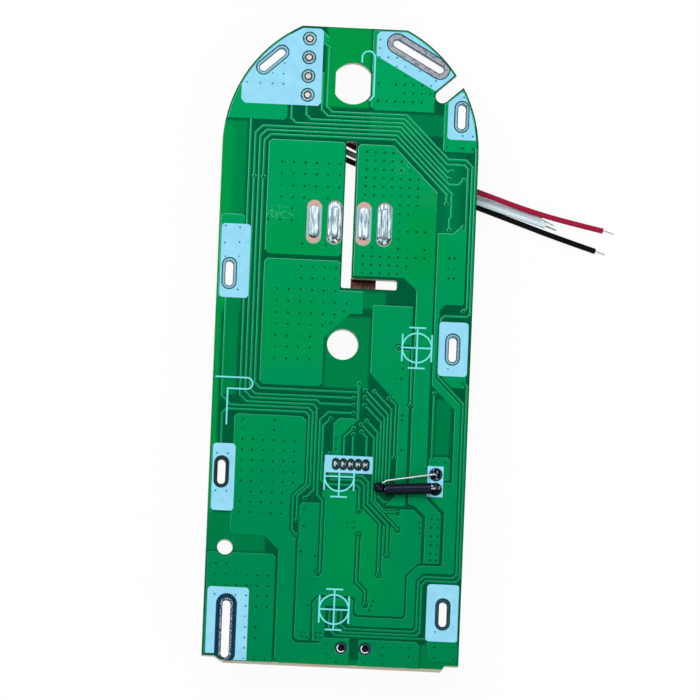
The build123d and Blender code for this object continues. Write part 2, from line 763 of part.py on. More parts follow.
def output_terminal(x):
    """Builds one terminal in the open part."""
    half_length = terminal_length / 2
    inner = leg_pitch / 2 - sheet / 2
    outer = inner + sheet
    height = underside - ring_height
    with BuildSketch(Plane.XY) as channel:
        Polygon(
            (x - outer - terminal_flare, terminal_y - half_length),
            (x - outer, terminal_y - half_length + terminal_flare_length),
            (x - outer, terminal_y + half_length),
            (x + outer, terminal_y + half_length),
            (x + outer, terminal_y - half_length + terminal_flare_length),
            (x + outer + terminal_flare, terminal_y - half_length),
            (x + inner + terminal_flare, terminal_y - half_length),
            (x + inner, terminal_y - half_length + terminal_flare_length),
            (x + inner, terminal_y + half_length - sheet),
            (x - inner, terminal_y + half_length - sheet),
            (x - inner, terminal_y - half_length + terminal_flare_length),
            (x - inner - terminal_flare, terminal_y - half_length),
            align=None,
        )
    extrude(channel.sketch, amount=height)
    fillet(edges().filter_by(Axis.Z).group_by(Axis.Y)[-1], terminal_bend + sheet)
    fillet(edges().filter_by(Axis.Z).group_by(Axis.Y)[-2], terminal_bend)
    with BuildSketch(Plane.XY.offset(height)) as legs:
        with Locations((x - leg_pitch / 2, terminal_y), (x + leg_pitch / 2, terminal_y)):
            Rectangle(sheet, leg_length)
    extrude(legs.sketch, amount=surface + leg_rise - height)


with BuildPart() as output_terminal_left:
    output_terminal(terminal_xs[0])

with BuildPart() as output_terminal_right:
    output_terminal(terminal_xs[1])

with BuildPart() as terminal_solder:
    joint_sizes = (narrow_joint, wide_joint, narrow_joint, wide_joint)
    with BuildSketch(Plane.XY.offset(surface + ring_height)):
        for place, (width, length) in zip(leg_places(), joint_sizes):
            with Locations(place):
                SlotOverall(length, width, rotation=90)
    extrude(amount=solder_height)
    fillet(faces().group_by(Axis.Z)[-1].edges(), solder_height * 0.8)
    with BuildSketch(Plane.XY.offset(underside - ring_height)):
        leg_faces(leg_fit)
    extrude(amount=board_thickness + 2 * ring_height)
    with BuildSketch(Plane.XY.offset(underside - 2 * ring_height)):
        leg_faces(0)
    extrude(amount=board_thickness + 4 * ring_height + leg_rise + solder_height, mode=Mode.SUBTRACT)


# Wire strands in the board, the wires and their stripped tips

strand_rise = 0.06

with BuildPart() as wire_strand_ends:
    with BuildSketch(Plane.XY.offset(wire_start)):
        circles(wire_places, strand_diameter / 2)
    extrude(amount=surface + ring_height + strand_rise - wire_start)

solder_sink = 0.25

with BuildPart() as wire_solder:
    with BuildSketch(Plane.XY.offset(underside)):
        circles(wire_places, wire_hole_diameter / 2)
        circles(wire_places, strand_diameter / 2, Mode.SUBTRACT)
    extrude(amount=board_thickness - solder_sink)


def wire_route(place, points):
    """Gives a wire's points: straight down out of its hole, then the chosen ones."""
    hole = (wire_x, wire_ys[place])
    return [(*hole, wire_start), (*hole, wire_start - 1.2)] + points


def bend_radii(points):
    """Gives the largest arcs that the runs beside each corner leave room for."""
    vectors = [Vector(*point) for point in points]
    radii = []
    for before, corner, after in zip(vectors, vectors[1:], vectors[2:]):
        turn = (corner - before).get_angle(after - corner)
        shorter = min((corner - before).length, (after - corner).length)
        radii.append(0.45 * shorter / sin(radians(turn / 2)) * cos(radians(turn / 2)))
    return radii


def tube(points, diameter):
    """Builds a round wire along its points in the open part."""
    with BuildLine() as path:
        FilletPolyline(*points, radius=bend_radii(points))
    with BuildSketch(path.line ^ 0) as section:
        Circle(diameter / 2)
    sweep(section.sketch, path=path.line)


white_upper_route = wire_route(0, [
    (-7.1, 50.6, 5.3), (-6.3, 47.9, 4.4), (-5.4, 44.0, 4.0), (-4.4, 40.8, 3.7), (-2.5, 37.2, 3.6),
    (1.8, 34.85, 3.5), (8.0, 32.45, 3.1), (15.0, 29.8, 2.6), (22.0, 27.15, 2.0), (26.0, 25.9, 1.5),
    (29.4, 24.95, 1.1), (32.75, 24.15, 0.8),
])
red_route = wire_route(1, [
    (-7.1, 47.4, 5.4), (-6.2, 44.6, 5.0), (-4.9, 40.8, 4.85), (-2.6, 36.2, 4.8), (1.8, 33.8, 4.7),
    (9.0, 31.7, 4.3), (15.5, 29.85, 3.8), (21.9, 28.0, 3.3), (29.3, 25.7, 2.2), (36.2, 24.05, 1.25),
    (43.1, 22.8, 0.49),
])
white_lower_route = wire_route(2, [
    (-7.2, 44.3, 5.4), (-6.55, 41.6, 4.7), (-5.5, 38.6, 4.3), (-3.2, 34.9, 4.2), (1.8, 32.6, 4.2),
    (9.0, 30.35, 4.05), (15.5, 28.3, 3.7), (22.0, 26.25, 3.15), (27.75, 24.6, 2.23), (33.4, 23.1, 1.4),
])
black_route = wire_route(3, [
    (-7.25, 41.05, 5.4), (-6.9, 39.2, 4.9), (-5.9, 36.8, 4.75), (-3.6, 33.5, 4.65), (1.8, 31.35, 4.4),
    (9.0, 29.3, 3.6), (15.5, 27.4, 2.9), (22.0, 25.5, 2.25), (28.6, 23.4, 1.55), (35.4, 21.2, 0.95),
    (41.95, 19.3, 0.49),
])

with BuildPart() as wire_white_upper:
    tube(white_upper_route, wire_diameter)

with BuildPart() as wire_red:
    tube(red_route, wire_diameter)

with BuildPart() as wire_white_lower:
    tube(white_lower_route, wire_diameter)

with BuildPart() as wire_black:
    tube(black_route, wire_diameter)

tip_routes = [
    [white_upper_route[-1], (33.9, 23.75, 0.62), (34.9, 23.3, 0.45)],
    [red_route[-1], (44.1, 22.6, 0.4), (44.95, 22.35, 0.3)],
    [white_lower_route[-1], (34.4, 22.8, 1.2), (35.3, 22.5, 0.95)],
    [black_route[-1], (42.8, 19.05, 0.4), (43.6, 18.8, 0.3)],
]

with BuildPart() as wire_tips:
    for route in tip_routes:
        with BuildLine() as path:
            FilletPolyline(*route, radius=bend_radii(route))
        with BuildSketch(path.line ^ 0):
            Circle(tip_diameter / 2)
        sweep(path=path.line)


# Signal header

def open_box(centre, size, wall, floor):
    """Builds a box that hangs from the underside, hollow from below."""
    with BuildSketch(Plane.XY.offset(underside - size[2])) as block:
        with Locations(centre):
            Rectangle(size[0], size[1])
    extrude(block.sketch, amount=size[2])
    with BuildSketch(Plane.XY.offset(underside - size[2])) as hollow:
        with Locations(centre):
            Rectangle(size[0] - 2 * wall, size[1] - 2 * wall)
    extrude(hollow.sketch, amount=size[2] - floor, mode=Mode.SUBTRACT)


with BuildPart() as header_housing:
    open_box(header_centre, header_body, header_wall, header_floor)
    with BuildSketch(Plane.XY.offset(underside - header_floor)):
        with Locations(*header_places()):
            Rectangle(header_pin, header_pin)
    extrude(amount=header_floor, mode=Mode.SUBTRACT)
    with BuildSketch(Plane.XY.offset(underside - ring_height)):
        header_pads()
    extrude(amount=ring_height, mode=Mode.SUBTRACT)

with BuildPart() as header_pin_row:
    with BuildSketch(Plane.XY.offset(underside - header_body[2] + header_pin_setback)):
        with Locations(*header_places()):
            Rectangle(header_pin, header_pin)
    extrude(amount=header_body[2] - header_pin_setback + board_thickness + header_pin_rise)
    chamfer(faces().group_by(Axis.Z)[-1].edges(), header_pin * 0.25)


def solder_cones(places, base_radius, core, height, hole_radius, sink):
    """Builds solder joints in the open part: a hollow cone round each lead and the fill below it."""
    for x, y in places:
        with BuildSketch(Plane((x, y, surface), x_dir=(1, 0, 0), z_dir=(0, -1, 0))) as profile:
            with BuildLine():
                Line((0, -sink), (hole_radius, -sink))
                Line((hole_radius, -sink), (hole_radius, ring_height))
                Line((hole_radius, ring_height), (base_radius, ring_height))
                Spline((base_radius, ring_height), (core + 0.12, ring_height + height * 0.45), (core, height))
                Line((core, height), (0, height))
                Line((0, height), (0, -sink))
            make_face()
        revolve(profile.sketch, axis=Axis((x, y, 0), (0, 0, 1)))


with BuildPart() as header_solder:
    solder_cones(header_places(), header_pad[0] / 2 - 0.02, header_pin * 0.72,
                 header_pin_rise * 0.8, header_hole_diameter / 2, board_thickness)
    with BuildSketch(Plane.XY.offset(underside - ring_height)):
        with Locations(*header_places()):
            Rectangle(header_pin, header_pin)
    extrude(amount=board_thickness + 2 * header_pin_rise, mode=Mode.SUBTRACT)


# Charging socket

with BuildPart() as socket_housing:
    with BuildSketch(Plane.XY):
        with Locations((socket_centre[0], socket_centre[1] + socket_body_setback)):
            Rectangle(*socket_body)
    extrude(amount=underside)
    fillet(edges().filter_by(Axis.Z), 0.5)
    with BuildSketch(Plane.XY):
        with Locations(*socket_places()):
            Rectangle(socket_mouth, socket_mouth)
    extrude(amount=socket_depth, mode=Mode.SUBTRACT)
    with BuildSketch(Plane.XY.offset(socket_depth)):
        with Locations(*socket_places()):
            Rectangle(socket_contact, socket_contact)
    extrude(amount=underside - socket_depth, mode=Mode.SUBTRACT)
    with BuildSketch(Plane.XY.offset(underside - ring_height)):
        circles(socket_places(), socket_hole_diameter / 2 + socket_ring)
    extrude(amount=ring_height, mode=Mode.SUBTRACT)

with BuildPart() as socket_contacts:
    with BuildSketch(Plane.XY.offset(socket_contact_start)):
        with Locations(*socket_places()):
            Rectangle(socket_contact, socket_contact)
    extrude(amount=underside + socket_contact_reach - socket_contact_start)


# Temperature sensor

lead_level = surface + copper + print_height + max(bead_radius, sleeve_outer / 2)
bead_end = bead_tip[0] + bead_length
bead_face = bead_end - bead_blunt
sleeve_start = (bead_end, bead_tip[1] - 0.3, lead_level)
sleeve_end = (sensor_pads[1][0] - sleeve_gap, sensor_pads[1][1], lead_level)
lead_foot = underside + 0.3

covered_lead_route = [
    (bead_face - bead_radius / 2, bead_tip[1] - 0.33, lead_level),
    (sensor_pads[1][0], sensor_pads[1][1], lead_level),
    (sensor_pads[1][0], sensor_pads[1][1], lead_foot),
]
bare_lead_route = [
    (bead_face - bead_radius, bead_tip[1] + 0.3, lead_level),
    (bead_face + 0.25, bead_tip[1] + 1.2, lead_level),
    (sensor_pads[0][0], sensor_pads[0][1], lead_level - 0.2),
    (sensor_pads[0][0], sensor_pads[0][1], lead_foot),
]


def formed_lead(points, radius):
    """Builds one stiff lead with equal bends in the open part."""
    with BuildLine() as path:
        FilletPolyline(*points, radius=radius)
    with BuildSketch(path.line ^ 0) as section:
        Circle(sensor_lead / 2)
    sweep(section.sketch, path=path.line)


with BuildPart() as sensor_lead_covered:
    formed_lead(covered_lead_route, sensor_bend)

with BuildPart() as sensor_lead_bare:
    formed_lead(bare_lead_route, sensor_bend)

with BuildPart() as sensor_bead:
    with BuildSketch(Plane((bead_tip[0], bead_tip[1], lead_level), x_dir=(1, 0, 0), z_dir=(0, -1, 0))):
        with BuildLine():
            crown = Spline(
                (0, 0),
                (bead_length * 0.3, bead_radius * 0.95),
                (bead_length * 0.6, bead_radius * 0.88),
                (bead_length - bead_blunt, bead_radius * 0.5),
                tangents=((0, 1), (1, -1)),
            )
            Polyline(crown @ 1, (bead_length - bead_blunt, 0), (0, 0))
        make_face()
    revolve(axis=Axis((bead_tip[0], bead_tip[1], lead_level), (1, 0, 0)))
    add(sensor_lead_covered.part, mode=Mode.SUBTRACT)
    add(sensor_lead_bare.part, mode=Mode.SUBTRACT)

with BuildPart() as sensor_sleeve:
    start = Vector(*sleeve_start)
    run = Vector(*sleeve_end) - start
    with BuildSketch(Plane(origin=start, z_dir=run)):
        Circle(sleeve_outer / 2)
        Circle(sleeve_bore / 2, mode=Mode.SUBTRACT)
    extrude(amount=run.length)

with BuildPart() as sensor_solder:
    solder_cones(sensor_pads, sensor_hole_diameter / 2 + sensor_ring - 0.1, sensor_lead * 0.8,
                 sensor_solder_height, sensor_hole_diameter / 2, board_thickness * 0.8)
    add(sensor_lead_covered.part, mode=Mode.SUBTRACT)
    add(sensor_lead_bare.part, mode=Mode.SUBTRACT)


# Component side: copper lands, shunt strap, switches, chips, resistors and capacitors

land = underside - copper


def gull_profile(inner_x, outer_x, shoulder_z, sheet_height, foot_length):
    """Draws a formed lead in the open sketch, from the body at inner_x to its foot at outer_x."""
    Polygon(
        (inner_x, shoulder_z - sheet_height / 2),
        (outer_x - foot_length - sheet_height * 0.4, shoulder_z - sheet_height / 2),
        (outer_x - foot_length + sheet_height * 0.6, land - sheet_height),
        (outer_x, land - sheet_height),
        (outer_x, land),
        (outer_x - foot_length, land),
        (outer_x - foot_length - sheet_height, shoulder_z + sheet_height / 2),
        (inner_x, shoulder_z + sheet_height / 2),
        align=None,
    )


def lead_rows(chip):
    """Gives the offset of each lead of one side along the chip."""
    count = chip["leads"]
    return [(place - (count - 1) / 2) * chip_pitch for place in range(count)]


def chip_body(chip):
    """Builds a chip's body with its drafted sides, in the open part."""
    x, y = chip["place"]
    width, length = chip["size"]
    middle = land - chip_clearance - chip_thickness / 2
    for direction in (1, -1):
        with BuildSketch(Plane.XY.offset(middle)) as waist:
            with Locations((x, y)):
                Rectangle(width, length)
        extrude(waist.sketch, amount=direction * chip_thickness / 2, taper=8)


def chip_leads(chip):
    """Builds both rows of a chip's leads, in the open part."""
    x, y = chip["place"]
    width = chip["size"][0]
    middle = land - chip_clearance - chip_thickness / 2
    for offset_y in lead_rows(chip):
        for side in (1, -1):
            near_side = y + offset_y + side * chip_lead_width / 2
            plane = Plane((x, near_side, 0), x_dir=(side, 0, 0), z_dir=(0, -side, 0))
            with BuildSketch(plane) as lead:
                gull_profile(width / 2, width / 2 + chip_lead_reach, middle, chip_lead_sheet, chip_lead_foot)
            extrude(lead.sketch, amount=chip_lead_width)


with BuildPart() as front_end_body:
    chip_body(front_end)

with BuildPart() as front_end_leads:
    chip_leads(front_end)

with BuildPart() as controller_body:
    chip_body(controller)

with BuildPart() as controller_leads:
    chip_leads(controller)

switch_front = switch_body[1] / 2 + switch_body_shift

with BuildPart() as switch_tabs:
    with BuildSketch(Plane.XY.offset(land - switch_tab[2])):
        with Locations(*switch_places):
            Rectangle(switch_tab[0], switch_tab[1])
        with Locations(*[(x, y + switch_tab[1] / 2) for x, y in switch_places]):
            Circle(switch_tab_notch, mode=Mode.SUBTRACT)
    extrude(amount=switch_tab[2])

with BuildPart() as switch_leads:
    for x, y in switch_places:
        for side in (-1, 1):
            near_side = x + side * switch_lead_pitch / 2 + switch_lead_width / 2
            plane = Plane((near_side, y, 0), x_dir=(0, -1, 0), z_dir=(-1, 0, 0))
            with BuildSketch(plane):
                gull_profile(
                    switch_front, switch_front + switch_lead_reach, land - switch_lead_drop,
                    switch_lead_sheet, switch_lead_foot,
                )
            extrude(amount=switch_lead_width)

with BuildPart() as switch_bodies:
    with BuildSketch(Plane.XY.offset(land)):
        with Locations(*[(x, y - switch_body_shift) for x, y in switch_places]):
            Rectangle(switch_body[0], switch_body[1])
    extrude(amount=-switch_body[2], taper=5)
    add(switch_tabs.part, mode=Mode.SUBTRACT)
    add(switch_leads.part, mode=Mode.SUBTRACT)

with BuildPart() as shunt_strap:
    half = shunt_span / 2
    flat = half - shunt_foot
    with BuildSketch(Plane((shunt_x, shunt_y, 0), x_dir=(0, 1, 0), z_dir=(1, 0, 0))):
        Polygon(
            (-half, land), (-flat, land), (-flat + shunt_drop, land - shunt_drop),
            (flat - shunt_drop, land - shunt_drop), (flat, land), (half, land), (half, land - shunt_sheet),
            (flat - shunt_sheet * 0.4, land - shunt_sheet),
            (flat - shunt_drop - shunt_sheet * 0.4, land - shunt_drop - shunt_sheet),
            (-flat + shunt_drop + shunt_sheet * 0.4, land - shunt_drop - shunt_sheet),
            (-flat + shunt_sheet * 0.4, land - shunt_sheet), (-half, land - shunt_sheet),
            align=None,
        )
    extrude(amount=shunt_width / 2, both=True)


def chip_parts(places, size, ends):
    """Builds the bodies or the two end caps of small chip parts, in the open part."""
    length, width, height = size
    with BuildSketch(Plane.XY.offset(land - height)) as blocks:
        for x, y in places:
            if ends:
                with Locations((x - length / 2 + chip_cap / 2, y), (x + length / 2 - chip_cap / 2, y)):
                    Rectangle(chip_cap, width)
            else:
                with Locations((x, y)):
                    Rectangle(length - 2 * chip_cap, width)
    extrude(blocks.sketch, amount=height)


with BuildPart() as resistor_bodies:
    chip_parts(resistor_places, resistor_size, False)

with BuildPart() as resistor_ends:
    chip_parts(resistor_places, resistor_size, True)

with BuildPart() as capacitor_bodies:
    chip_parts(capacitor_places, capacitor_size, False)

with BuildPart() as capacitor_ends:
    chip_parts(capacitor_places, capacitor_size, True)

land_margin = 0.15

with BuildPart() as component_side_copper:
    with BuildSketch(Plane.XY.offset(land)):
        with Locations(*switch_places):
            Rectangle(switch_tab[0] + 2 * land_margin, switch_tab[1] + 2 * land_margin)
        for x, y in switch_places:
            foot_y = y - switch_front - switch_lead_reach + switch_lead_foot / 2
            for side in (-1, 1):
                with Locations((x + side * switch_lead_pitch / 2, foot_y)):
                    Rectangle(switch_lead_width + 2 * land_margin, switch_lead_foot + 2 * land_margin)
        for side in (-1, 1):
            with Locations((shunt_x, shunt_y + side * (shunt_span - shunt_foot) / 2)):
                Rectangle(shunt_width + 2 * land_margin, shunt_foot + 2 * land_margin)
        for chip in (front_end, controller):
            x, y = chip["place"]
            reach = chip["size"][0] / 2 + chip_lead_reach - chip_lead_foot / 2
            for offset_y in lead_rows(chip):
                with Locations((x - reach, y + offset_y), (x + reach, y + offset_y)):
                    Rectangle(chip_lead_foot + land_margin, chip_lead_width + 0.1)
        for places, size in ((resistor_places, resistor_size), (capacitor_places, capacitor_size)):
            for x, y in places:
                away = size[0] / 2 - chip_cap / 2
                with Locations((x - away, y), (x + away, y)):
                    Rectangle(chip_cap + 2 * land_margin, size[1] + land_margin)
    extrude(amount=copper)


# Labels and files

pieces = {
    "board_laminate": board_laminate,
    "solder_side_copper": solder_side_copper,
    "component_side_copper": component_side_copper,
    "print_panels": print_panels,
    "print_marks": print_marks,
    "tab_slot_platings": tab_slot_platings,
    "power_slot_platings": power_slot_platings,
    "wire_hole_platings": wire_hole_platings,
    "header_hole_platings": header_hole_platings,
    "socket_hole_platings": socket_hole_platings,
    "sensor_hole_platings": sensor_hole_platings,
    "terminal_pads": terminal_pads,
    "terminal_solder": terminal_solder,
    "output_terminal_left": output_terminal_left,
    "output_terminal_right": output_terminal_right,
    "wire_strand_ends": wire_strand_ends,
    "wire_solder": wire_solder,
    "wire_white_upper": wire_white_upper,
    "wire_red": wire_red,
    "wire_white_lower": wire_white_lower,
    "wire_black": wire_black,
    "wire_tips": wire_tips,
    "header_housing": header_housing,
    "header_pin_row": header_pin_row,
    "header_solder": header_solder,
    "socket_housing": socket_housing,
    "socket_contacts": socket_contacts,
    "sensor_bead": sensor_bead,
    "sensor_lead_covered": sensor_lead_covered,
    "sensor_lead_bare": sensor_lead_bare,
    "sensor_sleeve": sensor_sleeve,
    "sensor_solder": sensor_solder,
    "shunt_strap": shunt_strap,
    "switch_bodies": switch_bodies,
    "switch_tabs": switch_tabs,
    "switch_leads": switch_leads,
    "front_end_body": front_end_body,
    "front_end_leads": front_end_leads,
    "controller_body": controller_body,
    "controller_leads": controller_leads,
    "resistor_bodies": resistor_bodies,
    "resistor_ends": resistor_ends,
    "capacitor_bodies": capacitor_bodies,
    "capacitor_ends": capacitor_ends,
}

for name, piece in pieces.items():
    piece.part.label = name
    export_step(piece.part, "parts/" + name + ".step")

wire_routes = {
    "white upper": white_upper_route,
    "red": red_route,
    "white lower": white_lower_route,
    "black": black_route,
}
for name, route in wire_routes.items():
    print(name, "wire radii:", [round(radius, 1) for radius in bend_radii(route)])
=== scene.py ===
import bpy
import bmesh
import math
from mathutils import Matrix, Vector


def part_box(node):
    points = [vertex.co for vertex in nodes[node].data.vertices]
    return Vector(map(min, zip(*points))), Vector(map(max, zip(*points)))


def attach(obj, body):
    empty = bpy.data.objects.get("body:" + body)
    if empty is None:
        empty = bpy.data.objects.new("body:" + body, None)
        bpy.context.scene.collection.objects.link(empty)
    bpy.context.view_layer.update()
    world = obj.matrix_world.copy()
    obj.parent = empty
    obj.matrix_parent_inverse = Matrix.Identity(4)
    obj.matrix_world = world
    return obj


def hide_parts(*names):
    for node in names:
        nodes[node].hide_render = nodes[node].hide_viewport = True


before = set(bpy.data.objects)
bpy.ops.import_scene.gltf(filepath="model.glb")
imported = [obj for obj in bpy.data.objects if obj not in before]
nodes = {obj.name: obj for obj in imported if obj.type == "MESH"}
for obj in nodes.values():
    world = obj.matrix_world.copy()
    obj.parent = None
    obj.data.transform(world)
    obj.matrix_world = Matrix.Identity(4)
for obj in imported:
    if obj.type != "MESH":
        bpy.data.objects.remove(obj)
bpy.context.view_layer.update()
print("stage 1: frame loaded with", len(nodes), "pieces")

mm = 0.001
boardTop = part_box("board_laminate")[1].z
noShare, fullShare = (0, 0, 0, 1), (1, 1, 1, 1)   # the two ends of a mask
soft = {"interpolation_type": "SMOOTHSTEP"}       # a range that eases in and out


# helpers

def srgb(hexCode):
    channels = [int(hexCode[i:i + 2], 16) / 255 for i in (1, 3, 5)]
    return (*[c / 12.92 if c <= 0.04045 else ((c + 0.055) / 1.055) ** 2.4 for c in channels], 1.0)


def between(first, second, share):
    # the colour that lies part of the way from the first to the second
    return tuple(a + (b - a) * share for a, b in zip(srgb(first), srgb(second)))


def feed(tree, sockets, inputs):
    # by name or by place, each input is linked, or set where it is a plain value
    for name, value in inputs.items() if isinstance(inputs, dict) else enumerate(inputs):
        for item in value if isinstance(value, list) else [value]:
            if isinstance(item, bpy.types.NodeSocket):
                tree.links.new(item, sockets[name])
            else:
                sockets[name].default_value = item


def addNode(tree, kind, inputs=(), out=0, stops=(), **settings):
    node = tree.nodes.new(kind if kind.startswith("Geometry") else "ShaderNode" + kind)
    for name, value in settings.items():
        setattr(node, name, value)
    if stops:
        elements = node.color_ramp.elements
        elements.remove(elements[0])
        elements[0].position, elements[0].color = stops[0]
        for position, color in stops[1:]:
            elements.new(position).color = color
    feed(tree, node.inputs, inputs)
    return node.outputs[out]


def startMaterial(name, **surface):
    material = bpy.data.materials.new(name)
    material.use_nodes = True
    tree = material.node_tree
    sockets = tree.nodes["Principled BSDF"].inputs
    feed(tree, sockets, {socketName.replace("_", " "): value for socketName, value in surface.items()})
    return material, tree, sockets, addNode(tree, "TexCoord", out="Object")


def patches(tree, coords, sizeMm, detail, stops):
    noise = addNode(tree, "TexNoise", {"Vector": coords, "Scale": 1 / (sizeMm * mm), "Detail": detail})
    return addNode(tree, "ValToRGB", [noise], stops=stops)


def layered(tree, color, coats, palette):
    # coats of colour one over the other, each where its share says
    for share, name in coats:
        color = addNode(tree, "Mix", {0: share, 6: color, 7: srgb(palette[name])}, 2, data_type="RGBA")
    return color


def grained(tree, sockets, coords, color, look, detail):
    # the colour on a surface with a fine relief
    grain = addNode(tree, "TexNoise",
                    {"Vector": coords, "Scale": 1 / (look["grainMm"] * mm), "Detail": detail})
    relief = addNode(tree, "Bump", {"Height": grain, "Distance": look["reliefMm"] * mm})
    feed(tree, sockets, {"Base Color": color, "Normal": relief})


def dress(nodeNames, material):
    for name in nodeNames:
        slots = nodes[name].data.materials
        slots.clear()
        slots.append(material)


def plainMesh(obj):
    depsgraph = bpy.context.evaluated_depsgraph_get()
    mesh = bpy.data.meshes.new_from_object(obj.evaluated_get(depsgraph))
    obj.modifiers.clear()
    obj.data = mesh
    return obj


def newObject(name, data, material=None):
    obj = bpy.data.objects.new(name, data)
    bpy.context.scene.collection.objects.link(obj)
    if material:
        obj.data.materials.append(material)
    return obj


# solder mask: a cured green lacquer, glossy, and thin enough for the copper below to lighten it;
# its reflections are tinted, which keeps grey and red out of the green

lacquer = {"Roughness": 0.32, "IOR": 1.5, "Specular_IOR_Level": 0.22, "Specular_Tint": (0.0, 1.0, 0.55, 1.0)}
maskLook = {
    # the upper copper colour is painted light, which the mask takes on towards the top over the stretch of y
    # given below
    "copperLitUpper": "#009553",
    "copperLower": "#007A47",
    "copperWarm": "#008C3C",
    "copperOlive": "#1F8A36",
    # the gap colour is painted shade of the bare laminate between the copper; the open colours are painted
    # light where it is wide
    "gap": "#003F28",
    "open": "#00683D",
    "openLight": "#018A38",
    # the edge colours are a painted highlight on the copper's lit edges
    "edgeHighlightUpper": "#5CCBA0",
    "edgeHighlightLower": "#24A06E",
    "scratch": "#6FCFA4",
    "fibre": "#D6CAB6",
    "fibreShade": "#AE9C84",
    "fibreDark": "#5A4336",
    "cloudMm": 11.0,
    "wanderMm": 1.1,
    "peel": {"grainMm": 0.7, "reliefMm": 0.006},   # like an orange's skin
    "weaveMm": 1.6,      # coarser than real glass cloth, so that it shows
    "weaveReliefMm": 0.01,
    "weaveShare": 0.18,
    "plyMm": 2.2,        # bands 0.7 mm apart, wider than real plies, so that they show
    "plyShare": 0.5,
    "clouds": [(0.5, noShare), (0.7, (0.4, 0.4, 0.4, 1))],
    "hair": [(0.006, fullShare), (0.016, noShare)],
    "paintedLightOver": (-60 * mm, 60 * mm),      # the copper's mask grows lighter over this stretch of y
    "edgePaintedLightOver": (-30 * mm, 30 * mm),
    "darkDepthMm": (0.75, 0.95),             # below this the board's walls lie in shade
    "flatFrom": 0.9,                         # faces whose normal.z is larger are the board's flat sides
}

# flux residue drawn out in thin lines, and a stain
residues = [
    {"x": (-14.0, -9.0), "y": (20.9, 23.3), "share": 0.6, "blur": 0.8},
    {"x": (14.7, 15.4), "y": (23.2, 25.5), "share": 0.9},
    {"x": (6.6, 10.2), "y": (29.3, 32.4), "share": 0.3, "blur": 0.8},
]
stain = {"x": (11.4, 15.4), "y": (24.0, 26.8), "share": 0.3, "blur": 1.2}

# parts of the copper fields that look warmer and more yellow than the rest
warmFields = [
    {"x": (-14.0, -3.0), "y": (13.0, 22.5), "share": 0.75, "blur": 3.5},
    {"x": (8.5, 16.5), "y": (11.0, 25.5), "share": 0.9, "blur": 3.5},
    {"x": (-15.0, -3.0), "y": (-3.5, 9.5), "share": 0.8, "blur": 3.5},
    {"x": (-2.0, 10.0), "y": (-42.0, -24.0), "share": 0.35, "blur": 5.0},
]

# places without copper that are wide enough for light to come through the glass fibre: lighter there with
# painted light; elsewhere the bare laminate keeps the gap colour, painted shade from the copper around
paintedLightFields = [
    {"x": (-21.4, -17.2), "y": (5.0, 37.5), "light": 0.35},
    {"x": (-22.5, -19.2), "y": (6.0, 37.0), "light": 1.0, "blur": 1.2},
    {"x": (-21.5, -20.3), "y": (-33.0, 7.0), "light": 0.95},
    {"x": (-20.0, -17.4), "y": (-9.0, 7.2), "light": 0.25},
    {"x": (-4.7, 2.9), "y": (40.2, 54.0), "light": 1.0},
    {"x": (2.9, 16.5), "y": (36.0, 39.8), "light": 0.1},
    {"x": (-3.0, 4.6), "y": (-7.0, 5.2), "light": 0.3},
    {"x": (14.6, 19.6), "y": (18.0, 33.5), "light": 0.0, "blur": 2.2},
    {"x": (2.9, 7.0), "y": (6.5, 9.5), "light": 0.2},
    {"x": (15.9, 18.6), "y": (-17.6, -8.0), "light": 0.15},
    {"x": (-21.4, -11.5), "y": (-35.2, -28.6), "light": 0.15},
    {"x": (14.9, 21.4), "y": (-53.8, -49.3), "light": 0.2},
    {"x": (-9.6, 14.8), "y": (-54.0, -52.4), "light": 0.1},
]


def fieldShare(tree, x, y, field):
    # the field's share inside it, falling softly to nothing over its blur
    blur = field.get("blur", 0.5)
    share = field.get("share", 1.0)
    for axis, (low, high) in ((x, field["x"]), (y, field["y"])):
        for outside, inside in ((low - blur / 2, low + blur), (high + blur / 2, high - blur)):
            side = addNode(tree, "MapRange", [axis, outside * mm, inside * mm], **soft)
            share = addNode(tree, "Math", (share, side), operation="MULTIPLY")
    return share


def maskOverCopper():
    # even green with painted light that makes it lighter towards the wires' end at the top, with warm clouds
    # and drawn-out flux
    material, tree, sockets, coords = startMaterial("greenMaskOverCopper", **lacquer)
    x, y = addNode(tree, "SeparateXYZ", [coords], slice(2))
    along = addNode(tree, "MapRange", [y, *maskLook["paintedLightOver"]], **soft)
    clouds = patches(tree, coords, maskLook["cloudMm"], 3.0, maskLook["clouds"])
    # hair lines run where the wandering noise is close to its middle value
    hair = addNode(tree, "TexNoise",
                   {"Vector": coords, "Scale": 1 / (maskLook["wanderMm"] * mm), "Detail": 2.0})
    hair = addNode(tree, "Math", [hair, 0.5], operation="SUBTRACT")
    hair = addNode(tree, "Math", [hair], operation="ABSOLUTE")
    hair = addNode(tree, "ValToRGB", [hair], stops=maskLook["hair"])
    coats = [(along, "copperLitUpper"), (clouds, "copperWarm")]
    coats += [(fieldShare(tree, x, y, field), "copperWarm") for field in warmFields]
    coats += [(addNode(tree, "Math", [fieldShare(tree, x, y, residue), hair], operation="MULTIPLY"),
               "scratch") for residue in residues]
    coats += [(fieldShare(tree, x, y, stain), "copperOlive")]
    color = layered(tree, srgb(maskLook["copperLower"]), coats, maskLook)
    grained(tree, sockets, coords, color, maskLook["peel"], 4.0)
    return material


